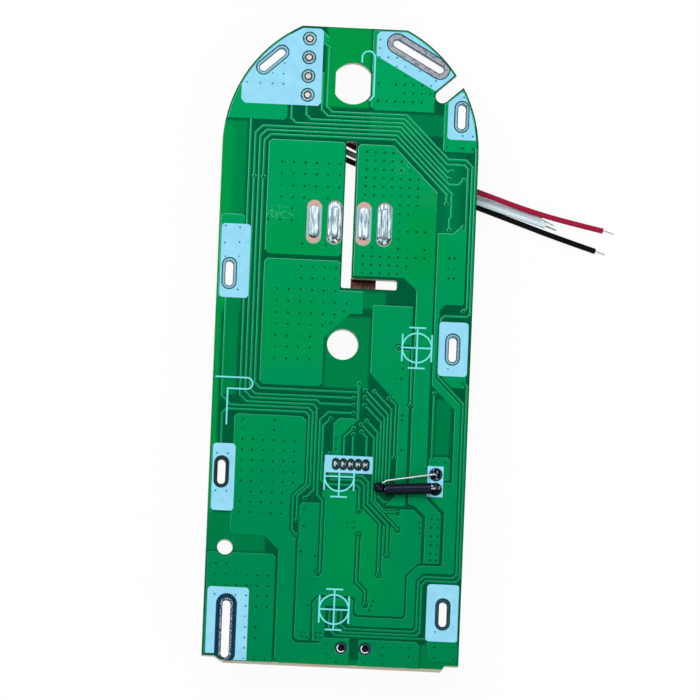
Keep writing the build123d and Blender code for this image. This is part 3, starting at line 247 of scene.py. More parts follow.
def maskOverFibre():
    # dark green over the bare laminate in painted shade, lighter with painted light where light would come
    # through; the walls show its pale plies
    material, tree, sockets, coords = startMaterial("greenMaskOverFibre", **lacquer)
    x, y, z = addNode(tree, "SeparateXYZ", [coords], slice(3))
    weave = addNode(tree, "TexNoise",
                    {"Vector": coords, "Scale": 1 / (maskLook["weaveMm"] * mm), "Detail": 2.0})
    face = srgb(maskLook["gap"])
    for field in paintedLightFields:
        shade = between(maskLook["open"], maskLook["openLight"], field["light"])
        share = fieldShare(tree, x, y, field)
        face = addNode(tree, "Mix", {0: share, 6: face, 7: shade}, 2, data_type="RGBA")
    threads = addNode(tree, "Math", [weave, maskLook["weaveShare"]], operation="MULTIPLY")
    face = layered(tree, face, [(threads, "openLight")], maskLook)
    plies = addNode(tree, "TexWave",
                    {"Vector": coords, "Scale": 1 / (maskLook["plyMm"] * mm), "Distortion": 1.5, "Detail": 2.0},
                    "Fac", bands_direction="Z")
    plies = addNode(tree, "Math", [plies, maskLook["plyShare"]], operation="MULTIPLY")
    shadeTop, shadeFull = (boardTop - depth * mm for depth in maskLook["darkDepthMm"])
    low = addNode(tree, "MapRange", [z, shadeTop, shadeFull], **soft)
    wall = layered(tree, srgb(maskLook["fibre"]), [(plies, "fibreShade"), (low, "fibreDark")], maskLook)
    facing = addNode(tree, "TexCoord", out="Normal")
    facing = addNode(tree, "SeparateXYZ", [facing], "Z")
    facing = addNode(tree, "Math", [facing], operation="ABSOLUTE")
    flat = addNode(tree, "Math", [facing, maskLook["flatFrom"]], operation="GREATER_THAN")
    color = addNode(tree, "Mix", {0: flat, 6: wall, 7: face}, 2, data_type="RGBA")
    relief = addNode(tree, "Bump", {"Height": weave, "Distance": maskLook["weaveReliefMm"] * mm})
    feed(tree, sockets, {"Base Color": color, "Normal": relief})
    return material


def edgeHighlightLook():
    # a painted highlight along the copper's lit edges, lighter towards the top with painted light
    material, tree, sockets, coords = startMaterial("greenMaskEdgeHighlight", **lacquer)
    y = addNode(tree, "SeparateXYZ", [coords], "Y")
    upper = addNode(tree, "MapRange", [y, *maskLook["edgePaintedLightOver"]], **soft)
    color = layered(tree, srgb(maskLook["edgeHighlightLower"]), [(upper, "edgeHighlightUpper")], maskLook)
    feed(tree, sockets, {"Base Color": color})
    return material


dress(["solder_side_copper"], maskOverCopper())
dress(["board_laminate"], maskOverFibre())


# print: a pale epoxy ink, matt, a little uneven where it covers the mask in wide fields

inks = {
    "paleInk": {"pieces": ["print_panels"], "color": "#90D8F4", "thin": "#86CDE8", "patchMm": 1.5,
                "cover": [(0.3, noShare), (0.7, fullShare)]},
    "lineInk": {"pieces": ["print_marks"], "color": "#6FDDE2"},
}
inkGrain = {"grainMm": 0.25, "reliefMm": 0.004, "roughness": 0.6}

for inkName, ink in inks.items():
    material, tree, sockets, coords = startMaterial(inkName, Roughness=inkGrain["roughness"])
    color = srgb(ink["color"])
    if "thin" in ink:
        cover = patches(tree, coords, ink["patchMm"], 5.0, ink["cover"])
        color = layered(tree, srgb(ink["thin"]), [(cover, "color")], ink)
    grained(tree, sockets, coords, color, inkGrain, 2.0)
    dress(ink["pieces"], material)


# metals with one grain all over; where a dark colour is given, it lies in the grain's low parts

metals = {
    # tin dipped and left dull: grey and soft, without sharp reflections
    "dullTin": {"color": "#B9C2C6", "roughness": 0.38, "grainMm": 0.4, "reliefMm": 0.01,
                "pieces": ["component_side_copper", "header_pin_row", "switch_tabs", "switch_leads",
                           "front_end_leads", "controller_leads", "resistor_ends", "capacitor_ends",
                           "sensor_lead_covered", "sensor_lead_bare"]},
    # tin painted nearly black: painted shade, the look of unlit tin rings
    "shadedHoleRing": {"color": "#2B3A48", "dark": "#101820", "roughness": 0.45, "grainMm": 0.3, "reliefMm": 0.02,
                 "pieces": ["header_hole_platings", "sensor_hole_platings"]},
    # tin under a thin film of flux: grey-green
    "fluxedRing": {"color": "#87A6AE", "dark": "#5C7C86", "roughness": 0.45, "grainMm": 0.3, "reliefMm": 0.02,
                   "pieces": ["wire_hole_platings"]},
    # smooth solder that mirrors black and white in patches
    "leadSolder": {"color": "#F4F7F8", "dark": "#0B1626", "darkFrom": 0.52, "roughness": 0.25, "grainMm": 0.6,
                   "reliefMm": 0.04, "pieces": ["sensor_solder"]},
    # tin deep in a hole, where little light comes
    "shadedTin": {"color": "#24272B", "roughness": 0.5, "grainMm": 0.4, "reliefMm": 0.01,
                  "pieces": ["socket_contacts"]},
    # solder sunk round the strands: dark grey
    "wireSolder": {"color": "#3C4650", "dark": "#20282F", "roughness": 0.4, "grainMm": 0.2, "reliefMm": 0.02,
                   "pieces": ["wire_solder"]},
    # rolled copper-nickel sheet: brown, streaked along the strap
    "resistanceAlloy": {"color": "#7C5548", "dark": "#5A3A30", "stretch": (3, 0.3, 1), "roughness": 0.45,
                        "grainMm": 0.5, "reliefMm": 0.01, "pieces": ["shunt_strap"]},
    # cut ends of tinned copper strands: pale pink, rough
    "copperStrands": {"color": "#CFC5C1", "dark": "#A19490", "roughness": 0.5, "grainMm": 0.2,
                      "reliefMm": 0.04, "pieces": ["wire_strand_ends"]},
    # a dark line along the rings' rims
    "fluxLine": {"color": "#2E5F70", "dark": "#1E434F", "roughness": 0.5, "grainMm": 0.3, "reliefMm": 0.01},
    # drawn and tinned copper wire: bright
    "tinnedStrand": {"color": "#DCE2E5", "roughness": 0.3, "grainMm": 0.4, "reliefMm": 0.01},
}


darkShare = {"from": 0.42, "over": 0.14}   # the grain's low parts, and how softly they end


def metalLook(name, metal):
    material, tree, sockets, coords = startMaterial(name, Metallic=1.0, Roughness=metal["roughness"],
                                                    Base_Color=srgb(metal["color"]))
    placed = addNode(tree, "Mapping", {"Vector": coords, "Scale": metal.get("stretch", (1, 1, 1))})
    grain = addNode(tree, "TexNoise",
                    {"Vector": placed, "Scale": 1 / (metal["grainMm"] * mm), "Detail": 4.0})
    if "dark" in metal:
        darkFrom = metal.get("darkFrom", darkShare["from"])
        bright = addNode(tree, "ValToRGB", [grain],
                         stops=[(darkFrom, noShare), (darkFrom + darkShare["over"], fullShare)])
        feed(tree, sockets, {"Base Color": layered(tree, srgb(metal["dark"]), [(bright, "color")], metal)})
    relief = addNode(tree, "Bump", {"Height": grain, "Distance": metal["reliefMm"] * mm})
    feed(tree, sockets, {"Normal": relief})
    return material


metalMaterials = {name: metalLook(name, metal) for name, metal in metals.items()}
for name, metal in metals.items():
    dress(metal.get("pieces", []), metalMaterials[name])


# metals whose look changes from place to place

# how far rough solder reaches round the slots that a tab was torn from, and down the wide joints
slotWalls = {
    "lowerPower": {"x": -17.6, "y": -48.2, "straight": 4.175, "radius": 0.725, "reach": 0.42},
    "upperRight": {"x": 18.35, "y": 39.6, "straight": 1.45, "radius": 0.7, "reach": 0.3},
    "middleRight": {"x": 18.35, "y": 0.35, "straight": 1.45, "radius": 0.7, "reach": 0.3},
    "leftGroove": {"x": -2.165, "y": 20.85, "straight": 2.1, "radius": 0.36, "reach": 0.34},
    "rightGroove": {"x": 6.135, "y": 20.85, "straight": 2.1, "radius": 0.36, "reach": 0.34},
}
fullReach = 0.4   # this share of the reach is covered in full
crumbSize = {"mm": 0.22, "stops": [(0.5, noShare), (0.56, fullShare)]}


def wallBand(tree, x, y, wall):
    # 1 within the slot and on its wall, 0 past the reach
    over = y
    for operation, second in (("SUBTRACT", wall["y"] * mm), ("ABSOLUTE", 0),
                              ("SUBTRACT", wall["straight"] * mm), ("MAXIMUM", 0)):
        over = addNode(tree, "Math", [over, second], operation=operation)
    off = addNode(tree, "Math", [x, wall["x"] * mm], operation="SUBTRACT")
    away = addNode(tree, "CombineXYZ", [off, over])
    away = addNode(tree, "VectorMath", [away], "Value", operation="LENGTH")
    outside, inside = wall["radius"] + wall["reach"], wall["radius"] + wall["reach"] * fullReach
    return addNode(tree, "MapRange", [away, outside * mm, inside * mm], **soft)


def crumbledBand(tree, coords, x, y, wall):
    # the same band, broken up into crumbs of solder
    crumbs = patches(tree, coords, crumbSize["mm"], 2.0, crumbSize["stops"])
    return addNode(tree, "Math", [wallBand(tree, x, y, wall), crumbs], operation="MULTIPLY")


# the rings painted with a dark reflection lie past these stretches of x and y
slotRing = {"surface": {"Metallic": 0.6, "Roughness": 0.45},
            "tin": "#739FB1", "burntRight": "#153A48", "burnt": "#0A1318", "crumb": "#26363D",
            "burntX": (-10 * mm, -12 * mm), "burntY": (-14 * mm, -16 * mm),
            "burntRightY": (-38 * mm, -39 * mm), "grainMm": 0.3, "reliefMm": 0.02}


def slotRingLook():
    # tin over the slots' rims: bluish grey; two of them are painted nearly black, a painted dark reflection
    material, tree, sockets, coords = startMaterial("tinRing", **slotRing["surface"])
    x, y = addNode(tree, "SeparateXYZ", [coords], slice(2))
    burntX, burntY, burntRight = [
        addNode(tree, "MapRange", [axis, *slotRing[stretch]], **soft)
        for axis, stretch in ((x, "burntX"), (y, "burntY"), (y, "burntRightY"))]
    coats = [(burntRight, "burntRight"),
             (addNode(tree, "Math", [burntY, burntX], operation="MULTIPLY"), "burnt")]
    for wallName in ("upperRight", "middleRight"):
        wall = slotWalls[wallName]
        rightward = addNode(tree, "Math", [x, wall["x"] * mm], operation="GREATER_THAN")
        band = addNode(tree, "Math", [crumbledBand(tree, coords, x, y, wall), rightward],
                       operation="MULTIPLY")
        coats.append((band, "crumb"))
    color = layered(tree, srgb(slotRing["tin"]), coats, slotRing)
    grained(tree, sockets, coords, color, slotRing, 3.0)
    return material


powerRing = {"surface": {"Roughness": 0.45, "Specular_IOR_Level": 0.3, "Specular_Tint": (0.1, 0.45, 1.0, 1.0)},
             # the lower colour is a painted dark reflection, the upper the lit tin
             "upper": "#A3A7AE", "upperSpot": "#747780", "lower": "#0A2238", "lowerSpot": "#27445F",
             "crumb": "#C9D3D8", "lowerOver": (5 * mm, -5 * mm), "spotMm": 0.45, "lowerSpotShare": 0.3,
             "spots": [(0.5, noShare), (0.62, fullShare)], "grainMm": 0.5, "reliefMm": 0.04}


def powerRingLook():
    # wide tinned rims: grey-lilac lit tin at the top right; at the bottom left navy, a painted dark reflection,
    # and rough with old solder
    material, tree, sockets, coords = startMaterial("powerRing", **powerRing["surface"])
    x, y = addNode(tree, "SeparateXYZ", [coords], slice(2))
    lower = addNode(tree, "MapRange", [y, *powerRing["lowerOver"]], **soft)
    spots = patches(tree, coords, powerRing["spotMm"], 5.0, powerRing["spots"])
    faint = addNode(tree, "Math", [spots, powerRing["lowerSpotShare"]], operation="MULTIPLY")
    band = crumbledBand(tree, coords, x, y, slotWalls["lowerPower"])
    darkReflectionColor = layered(tree, srgb(powerRing["lower"]), [(faint, "lowerSpot"), (band, "crumb")], powerRing)
    litColor = layered(tree, srgb(powerRing["upper"]), [(spots, "upperSpot")], powerRing)
    color = addNode(tree, "Mix", {0: lower, 6: litColor, 7: darkReflectionColor}, 2, data_type="RGBA")
    grained(tree, sockets, coords, color, powerRing, 4.0)
    return material


joint = {"surface": {"Metallic": 0.35, "Roughness": 0.35},
         "streaks": [(0.34, "#5B707B"), (0.48, "#9CB8C2"), (0.62, "#DDEAEE")], "groove": "#36434C",
         "grooveShare": 0.8, "burnt": "#12181C", "burntOver": (19.0 * mm, 18.4 * mm),
         "burntPatches": [(0.46, noShare), (0.52, fullShare)], "streakMm": 0.5, "stretch": (1.6, 0.22, 1),
         "reliefMm": 0.05}


def jointLook():
    # solder that froze in bright streaks along each leg, with a dark groove down the two wide joints
    material, tree, sockets, coords = startMaterial("jointSolder", **joint["surface"])
    x, y = addNode(tree, "SeparateXYZ", [coords], slice(2))
    placed = addNode(tree, "Mapping", {"Vector": coords, "Scale": joint["stretch"]})
    streaks = addNode(tree, "TexNoise",
                      {"Vector": placed, "Scale": 1 / (joint["streakMm"] * mm), "Detail": 3.0})
    color = addNode(tree, "ValToRGB", [streaks],
                    stops=[(position, srgb(code)) for position, code in joint["streaks"]])
    coats = []
    for wallName in ("leftGroove", "rightGroove"):
        band = wallBand(tree, x, y, slotWalls[wallName])
        coats.append((addNode(tree, "Math", [band, joint["grooveShare"]], operation="MULTIPLY"), "groove"))
    ends = addNode(tree, "MapRange", [y, *joint["burntOver"]], **soft)
    spots = patches(tree, coords, joint["streakMm"], 3.0, joint["burntPatches"])
    coats.append((addNode(tree, "Math", [ends, spots], operation="MULTIPLY"), "burnt"))
    color = layered(tree, color, coats, joint)
    relief = addNode(tree, "Bump", {"Height": streaks, "Distance": joint["reliefMm"] * mm})
    feed(tree, sockets, {"Base Color": color, "Normal": relief})
    return material


# the wetted middle ends this far from the pads' middle line
pad = {"surface": {"Metallic": 0.3, "Roughness": 0.45},
       "middleY": 20.85 * mm, "wettedTo": (2.3 * mm, 2.8 * mm), "wetted": "#93AAB4", "pink": "#C9A294",
       "pinkDark": "#A5877E", "grainMm": 0.6, "reliefMm": 0.02}


def padLook():
    # the pads' ends stay pink with flux, their middle is wetted bright
    material, tree, sockets, coords = startMaterial("fluxedTin", **pad["surface"])
    off = addNode(tree, "SeparateXYZ", [coords], "Y")
    off = addNode(tree, "Math", [off, pad["middleY"]], operation="SUBTRACT")
    off = addNode(tree, "Math", [off], operation="ABSOLUTE")
    outer = addNode(tree, "MapRange", [off, *pad["wettedTo"]], **soft)
    grain = addNode(tree, "TexNoise",
                    {"Vector": coords, "Scale": 1 / (pad["grainMm"] * mm), "Detail": 4.0})
    pink = layered(tree, srgb(pad["pink"]), [(grain, "pinkDark")], pad)
    color = addNode(tree, "Mix", {0: outer, 6: srgb(pad["wetted"]), 7: pink}, 2, data_type="RGBA")
    relief = addNode(tree, "Bump", {"Height": grain, "Distance": pad["reliefMm"] * mm})
    feed(tree, sockets, {"Base Color": color, "Normal": relief})
    return material


terminal = {"surface": {"Metallic": 1.0, "Roughness": 0.32},
            "bronze": "#B8AE98", "streaks": [(0.38, "#6F8791"), (0.5, "#A8C2CC"), (0.64, "#E6F0F3")],
            "burnt": "#2A3238", "burntOver": (19.2 * mm, 18.5 * mm), "burntShare": 0.75,
            "wettedOver": (boardTop - 0.3 * mm, boardTop), "fluxShare": 0.65,
            "streakMm": 0.45, "stretch": (2.0, 0.2, 1), "grainMm": 0.8, "reliefMm": 0.006}


def terminalLook():
    # tinned bronze: warm grey sheet, drowned in bright solder where the legs come through the board
    material, tree, sockets, coords = startMaterial("tinnedBronze", **terminal["surface"])
    y, z = addNode(tree, "SeparateXYZ", [coords], slice(1, 3))
    wetted = addNode(tree, "MapRange", [z, *terminal["wettedOver"]], **soft)
    placed = addNode(tree, "Mapping", {"Vector": coords, "Scale": terminal["stretch"]})
    streaks = patches(tree, placed, terminal["streakMm"], 3.0,
                      [(position, srgb(code)) for position, code in terminal["streaks"]])
    burnt = addNode(tree, "MapRange", [y, *terminal["burntOver"]], **soft)
    burnt = addNode(tree, "Math", [burnt, terminal["burntShare"]], operation="MULTIPLY")
    streaks = layered(tree, streaks, [(burnt, "burnt")], terminal)
    color = addNode(tree, "Mix", {0: wetted, 6: srgb(terminal["bronze"]), 7: streaks}, 2, data_type="RGBA")
    flux = addNode(tree, "Math", [wetted, terminal["fluxShare"]], operation="MULTIPLY")
    metallic = addNode(tree, "Math", [1.0, flux], operation="SUBTRACT")
    feed(tree, sockets, {"Metallic": metallic})
    grained(tree, sockets, coords, color, terminal, 4.0)
    return material


pinSolder = {"surface": {"Metallic": 0.4, "Roughness": 0.3},
             "pins": 5, "dark": "#0E151B", "bright": "#F6F9FA", "grainMm": 0.4, "reliefMm": 0.03,
             "stops": [(0.1, "dark"), (0.2, "bright"), (0.36, "bright"), (0.46, "dark"), (0.66, "dark"),
                       (0.72, "bright"), (0.8, "dark")]}


def pinSolderLook():
    # smooth cones: each shines on its left flank and in a thin line on the right
    material, tree, sockets, coords = startMaterial("pinSolder", **pinSolder["surface"])
    low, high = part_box("header_solder")
    place = addNode(tree, "SeparateXYZ", [coords], "X")
    for operation, second in (("SUBTRACT", low.x), ("MULTIPLY", pinSolder["pins"] / (high.x - low.x)),
                              ("FRACT", 0)):
        place = addNode(tree, "Math", [place, second], operation=operation)
    color = addNode(tree, "ValToRGB", [place],
                    stops=[(position, srgb(pinSolder[shade])) for position, shade in pinSolder["stops"]])
    grained(tree, sockets, coords, color, pinSolder, 3.0)
    return material


socketRing = {"surface": {"Metallic": 0.6, "Roughness": 0.4},
              "dark": "#16293F", "bright": "#E4EAEE", "crescentTo": (0.75 * mm, 0.68 * mm),
              "leftTo": (0.25 * mm, -0.25 * mm), "grainMm": 0.3, "reliefMm": 0.02}


def socketRingLook():
    # a painted highlight: a bright crescent on the lower left inside each hole, in a dark ring
    material, tree, sockets, coords = startMaterial("socketRing", **socketRing["surface"])
    x, y = addNode(tree, "SeparateXYZ", [coords], slice(2))
    low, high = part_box("socket_hole_platings")
    radius = (high.y - low.y) / 2
    color = srgb(socketRing["dark"])
    for centre in (low.x + radius, high.x - radius):
        off = addNode(tree, "Math", [x, centre], operation="SUBTRACT")
        over = addNode(tree, "Math", [y, low.y + radius], operation="SUBTRACT")
        away = addNode(tree, "CombineXYZ", [off, over])
        away = addNode(tree, "VectorMath", [away], "Value", operation="LENGTH")
        slant = addNode(tree, "Math", [off, over], operation="ADD")
        shares = [addNode(tree, "MapRange", [value, *socketRing[reachName]], **soft)
                  for value, reachName in ((away, "crescentTo"), (slant, "leftTo"))]
        highlightCrescent = addNode(tree, "Math", shares, operation="MULTIPLY")
        color = layered(tree, color, [(highlightCrescent, "bright")], socketRing)
    grained(tree, sockets, coords, color, socketRing, 3.0)
    return material


dress(["tab_slot_platings"], slotRingLook())
dress(["power_slot_platings"], powerRingLook())
dress(["terminal_pads"], padLook())
dress(["terminal_solder"], jointLook())
dress(["header_solder"], pinSolderLook())
dress(["socket_hole_platings"], socketRingLook())
dress(["output_terminal_left", "output_terminal_right"], terminalLook())


# plastics and ceramics

sleeveSheen = {"Specular_IOR_Level": 0.3, "Specular_Tint": (0.45, 0.6, 1.0, 1.0)}
plastics = {
    # moulded epoxy and nylon, filled black: satin
    "mouldedBlack": {"color": "#1B1B1D", "surface": {"Roughness": 0.5}, "grainMm": 0.3, "reliefMm": 0.004,
                     "pieces": ["socket_housing", "switch_bodies", "front_end_body", "controller_body",
                                "resistor_bodies"]},
    # natural nylon: cream, a little glossy
    "mouldedNylon": {"color": "#E3D9BE", "surface": {"Roughness": 0.4}, "grainMm": 0.3, "reliefMm": 0.004,
                     "pieces": ["header_housing"]},
    # fired ceramic: tan, satin
    "firedCeramic": {"color": "#8A6547", "surface": {"Roughness": 0.45}, "grainMm": 0.3, "reliefMm": 0.004,
                     "pieces": ["capacitor_bodies"]},
    # dipped epoxy drop: black with small clear highlights
    "blackResin": {"color": "#06070B", "surface": {"Roughness": 0.22, **sleeveSheen}, "grainMm": 0.8,
                   "reliefMm": 0.03, "pieces": ["sensor_bead"]},
    # shrunk tube: navy black, with a softer sheen along it
    "shrinkSleeve": {"color": "#070A16", "surface": {"Roughness": 0.28, **sleeveSheen}, "grainMm": 1.4,
                     "reliefMm": 0.03, "pieces": ["sensor_sleeve"]},
}
for name, plastic in plastics.items():
    material, tree, sockets, coords = startMaterial(name, **plastic["surface"])
    grained(tree, sockets, coords, srgb(plastic["color"]), plastic, 2.0)
    dress(plastic["pieces"], material)
print("stage 2: CAD pieces dressed")


# lines along the top edges of flat pieces: a painted highlight along the mask's lit edges, the dark rims of the
# platings

lineRule = {
    "weld": 0.002,        # corners of the CAD node's loose triangles this close are one
    "level": 0.005,       # an edge this close to the top lies on it
    "wallTilt": 0.3,      # upright faces have a smaller normal.z
    "faceTilt": 0.9,      # and level ones a larger
    "turnedAway": -0.1,   # walls past this face away from the light and get no line
}


def edgeLines(nodeName, sinkMm, litFrom):
    work = bmesh.new()
    work.from_mesh(nodes[nodeName].data)
    bmesh.ops.remove_doubles(work, verts=work.verts, dist=lineRule["weld"] * mm)
    top = max(vert.co.z for vert in work.verts) - lineRule["level"] * mm
    points, index, pairs = [], {}, []
    for edge in work.edges:
        if len(edge.link_faces) != 2 or min(vert.co.z for vert in edge.verts) < top:
            continue
        wall, face = sorted(edge.link_faces, key=lambda face: abs(face.normal.z))
        if abs(wall.normal.z) > lineRule["wallTilt"] or abs(face.normal.z) < lineRule["faceTilt"]:
            continue
        lit = not litFrom or wall.normal.x * litFrom[0] + wall.normal.y * litFrom[1] >= lineRule["turnedAway"]
        if not lit:
            continue
        for vert in edge.verts:
            if vert.index not in index:
                index[vert.index] = len(points)
                points.append(vert.co - Vector((0, 0, sinkMm * mm)))
        pairs.append([index[vert.index] for vert in edge.verts])
    work.free()
    mesh = bpy.data.meshes.new(nodeName + "Lines")
    mesh.from_pydata(points, pairs, [])
    return mesh


def startTree(name, sockets):
    tree = bpy.data.node_groups.new(name, "GeometryNodeTree")
    tree.interface.new_socket("Geometry", in_out="INPUT", socket_type="NodeSocketGeometry")
    identifiers = {}
    for socketName, kind in sockets.items():
        item = tree.interface.new_socket(socketName, in_out="INPUT", socket_type=kind)
        identifiers[socketName] = item.identifier
    tree.interface.new_socket("Geometry", in_out="OUTPUT", socket_type="NodeSocketGeometry")
    given = tree.nodes.new("NodeGroupInput").outputs
    result = tree.nodes.new("NodeGroupOutput").inputs
    return tree, identifiers, given, result


def useTree(obj, tree, identifiers, values):
    modifier = obj.modifiers.new(tree.name, "NODES")
    modifier.node_group = tree
    for socketName, value in values.items():
        modifier[identifiers[socketName]] = value


def rimTree():
    tree, identifiers, given, result = startTree(
        "maskRim", {"Radius": "NodeSocketFloat", "Sides": "NodeSocketInt", "Material": "NodeSocketMaterial"})
    path = addNode(tree, "GeometryNodeMeshToCurve", {"Mesh": given["Geometry"]})
    profile = addNode(tree, "GeometryNodeCurvePrimitiveCircle",
                      {"Resolution": given["Sides"], "Radius": given["Radius"]})
    band = addNode(tree, "GeometryNodeCurveToMesh", {"Curve": path, "Profile Curve": profile})
    band = addNode(tree, "GeometryNodeRealizeInstances", {"Geometry": band})
    band = addNode(tree, "GeometryNodeSetMaterial", {"Geometry": band, "Material": given["Material"]})
    feed(tree, result, [band])
    return tree, identifiers


rimKinds = [
    # the mask's rims are a painted highlight, drawn only on walls that face litFrom
    {"name": "maskRim", "nodes": ["solder_side_copper"], "radius": 0.06, "sides": 6, "sink": 0.034,
     "litFrom": (-0.3, 0.95), "slot": "mask_green", "material": edgeHighlightLook()},
    {"name": "ringRim", "nodes": ["tab_slot_platings", "power_slot_platings", "wire_hole_platings"],
     "radius": 0.065, "sides": 6, "sink": 0.0, "litFrom": None, "slot": "tin_plate",
     "material": metalMaterials["fluxLine"]},
]
rimNodes, rimIdentifiers = rimTree()
for rim in rimKinds:
    for nodeName in rim["nodes"]:
        band = newObject(rim["name"] + nodeName.title().replace("_", ""),
                         edgeLines(nodeName, rim["sink"], rim["litFrom"]))
        useTree(band, rimNodes, rimIdentifiers,
                {"Radius": rim["radius"] * mm, "Sides": rim["sides"], "Material": rim["material"]})
        plainMesh(band)
        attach(band, "root")
        print("stage 3:", band.name, len(band.data.polygons), "faces")


# vias: small plated holes that stitch the copper fields through the board

viaKinds = {
    # each kind's first colour is the painted shade of the open holes
    "vias": {"hole": 0.17, "ring": 0.25, "sides": 10, "rise": 0.012, "colors": ("#04300F", "#0A5A2C"),
             "ringColors": ("#00703F", "#008A4B"), "slot": "mask_green"},
    "printDimples": {"hole": 0.12, "ring": 0.19, "sides": 10, "rise": 0.01, "colors": ("#1D5672", "#4389A8"),
                     "ringColors": ("#5AA5C3", "#79C3DF"), "slot": "print_pale"},
}
viaFilling = {"patchMm": 2.6, "stops": [(0.48, noShare), (0.66, fullShare)]}

# columns: x of the first place, and the pitch; rows: the columns they follow, y, and the places filled
viaColumns = {"wide": (-11.3, 1.94), "block": (-16.1, 1.745), "foot": (-19.65, 1.75), "fine": (2.75, 1.465)}
viaRows = [
    ("wide", 30.7, range(6)), ("wide", 28.8, range(6)), ("wide", 26.75, range(6)), ("wide", 24.8, (0, 1, 2, 4)),
    ("wide", 22.9, (1,)), ("wide", 20.9, (-1, 0, 1)), ("wide", 17.05, (2, 4)),
    ("wide", 13.2, range(2, 6)), ("wide", 11.25, range(2, 6)), ("wide", 9.3, range(6)), ("wide", 7.3, range(7)),
    ("wide", 5.35, range(6)), ("wide", 3.45, range(5)), ("wide", 1.45, range(4)), ("wide", -0.4, range(4)),
    ("wide", -2.4, range(4)),
    ("block", -12.9, (0, 3)), ("block", -14.5, (0, 3)), ("block", -16.25, range(6)), ("block", -18.0, range(6)),
    ("block", -19.75, range(6)), ("block", -21.5, range(6)), ("block", -23.25, range(6)),
    ("block", -25.05, range(5)), ("block", -26.75, range(5)), ("block", -28.5, range(5)),
    ("foot", -37.3, (0, 1)), ("foot", -39.05, range(6)), ("foot", -40.8, range(6)),
    ("foot", -42.5, (0, 2, 3, 4, 5)), ("foot", -44.3, (3, 4, 5)), ("foot", -46.0, (3,)),
    ("foot", -47.8, (3, 4)), ("foot", -49.55, (3, 4)),
    ("foot", -51.3, (3,)), ("foot", -53.05, (3, 4, 5)),
    ("fine", 33.0, range(4)), ("fine", 31.6, range(5)), ("fine", 30.1, range(6)), ("fine", 28.65, range(7)),
    ("fine", 27.2, range(7)), ("fine", 25.75, range(7)), ("fine", 24.25, (4, 5, 6)), ("fine", 22.75, (4, 5)),
    ("fine", 21.3, (4,)), ("fine", 19.85, range(4, 8)), ("fine", 18.45, (4,)), ("fine", 16.9, (1, 4, 5, 7)),
    ("fine", 15.45, range(8)), ("fine", 14.0, range(6)), ("fine", 12.6, range(5)),
    ("fine", 52.0, (1,)), ("fine", 50.6, (1,)), ("fine", 49.1, (1, 2, 3)), ("fine", 47.6, (3, 4)),
    ("fine", 46.1, (4,)), ("fine", 44.6, (1, 3, 4, 5, 6, 7)), ("fine", 43.2, range(4, 8)),
    ("fine", 41.7, range(1, 7)),
]
viaSingles = [
    (-17.7, 43.85), (-15.5, 43.8), (-13.5, 43.8), (-11.66, 43.8), (-13.5, 45.6), (-11.7, 45.5), (-11.6, 47.3),
    (18.6, 42.9), (18.6, 36.4), (20.3, 36.4), (16.1, 34.3), (18.7, 34.3), (20.4, 34.3),
    (17.2, 15.7), (18.1, 15.7), (17.2, 13.95), (18.1, 13.95), (17.2, 12.3), (18.1, 12.3),
    (-20.3, 19.5), (-17.9, 19.3), (-20.3, 16.6), (-17.9, 16.8), (-20.2, 14.3), (-17.9, 14.4), (-17.9, 8.8),
    (-20.2, -18.8), (-18.4, -18.8), (-20.2, -25.1), (-18.4, -25.1), (17.7, -2.9), (20.2, -5.3),
    (10.3, -2.3), (9.2, -3.2), (10.15, -3.2), (9.2, -4.95), (10.0, -4.95), (10.4, -11.1),
    (10.4, -11.9), (10.5, -16.9),
    (-0.5, -15.5), (-0.5, -16.35), (-0.5, -17.2), (-0.03, 5.9), (-2.1, 3.9),
    (2.0, -29.4), (3.05, -29.4), (2.0, -30.3), (3.05, -30.3), (-5.3, -27.5), (-5.3, -30.4), (-5.6, -34.7),
    (-3.2, -35.4), (13.95, -28.9), (13.95, -29.8), (14.0, -30.7), (6.8, -42.5), (6.5, -43.3), (6.2, -44.1),
    (-4.1, -43.7), (-4.4, -48.3), (-4.1, -49.0), (-5.0, -48.2), (-4.95, -48.9), (-2.5, -48.2), (-1.8, -48.2),
    (-2.5, -49.0), (-1.8, -49.0),
    (15.95, -28.3), (17.0, -28.3), (15.95, -29.7), (17.0, -29.7), (15.95, -31.2), (17.0, -31.2),
    (15.95, -32.65), (17.0, -32.65), (15.95, -34.1), (17.0, -34.1), (15.95, -35.2), (17.0, -35.2),
    (16.2, -18.7), (17.9, -18.7), (18.65, -22.7), (18.65, -24.4),
    (-0.65, -50.15), (0.2, -51.0), (-0.65, -51.7), (0.05, -52.3), (-0.65, -53.0), (0.95, -53.0), (2.15, -53.0),
    (8.7, -50.15), (10.05, -50.1), (11.6, -50.15), (13.0, -50.1), (8.65, -51.6), (13.05, -51.6), (5.75, -53.0),
    (7.3, -53.0), (8.65, -53.0), (12.95, -53.0),
    (17.3, -47.2), (17.3, -49.8), (20.5, -49.7), (17.3, -51.6), (20.5, -51.7),
]
# the holes in which single traces end
viaEnds = [
    (16.35, 24.8), (17.0, 20.4), (19.1, 28.95), (16.65, 29.0), (17.0, 30.3), (19.87, 6.8), (-15.9, 28.05),
    (-14.35, 28.05), (-5.3, -25.75), (2.2, -9.75), (2.15, -8.6), (3.05, -6.1), (-6.5, -29.5), (-6.5, -32.0),
    (2.2, -11.15), (-2.7, -38.2), (-1.5, -12.2), (3.8, -27.5), (-1.4, -18.1), (8.75, -34.7), (7.45, -38.1),
    (9.4, 0.3), (11.72, -9.4), (15.6, -7.2), (3.85, -31.5), (5.4, -43.2), (2.4, -13.65), (2.4, -14.7),
    (3.7, -14.2), (3.6, -12.95), (4.5, -12.3), (4.07, -9.7), (4.07, -8.36), (4.07, -7.2), (5.6, -7.3),
    (8.1, -8.36), (9.3, -18.25), (10.2, -27.45), (10.3, -30.4),
]
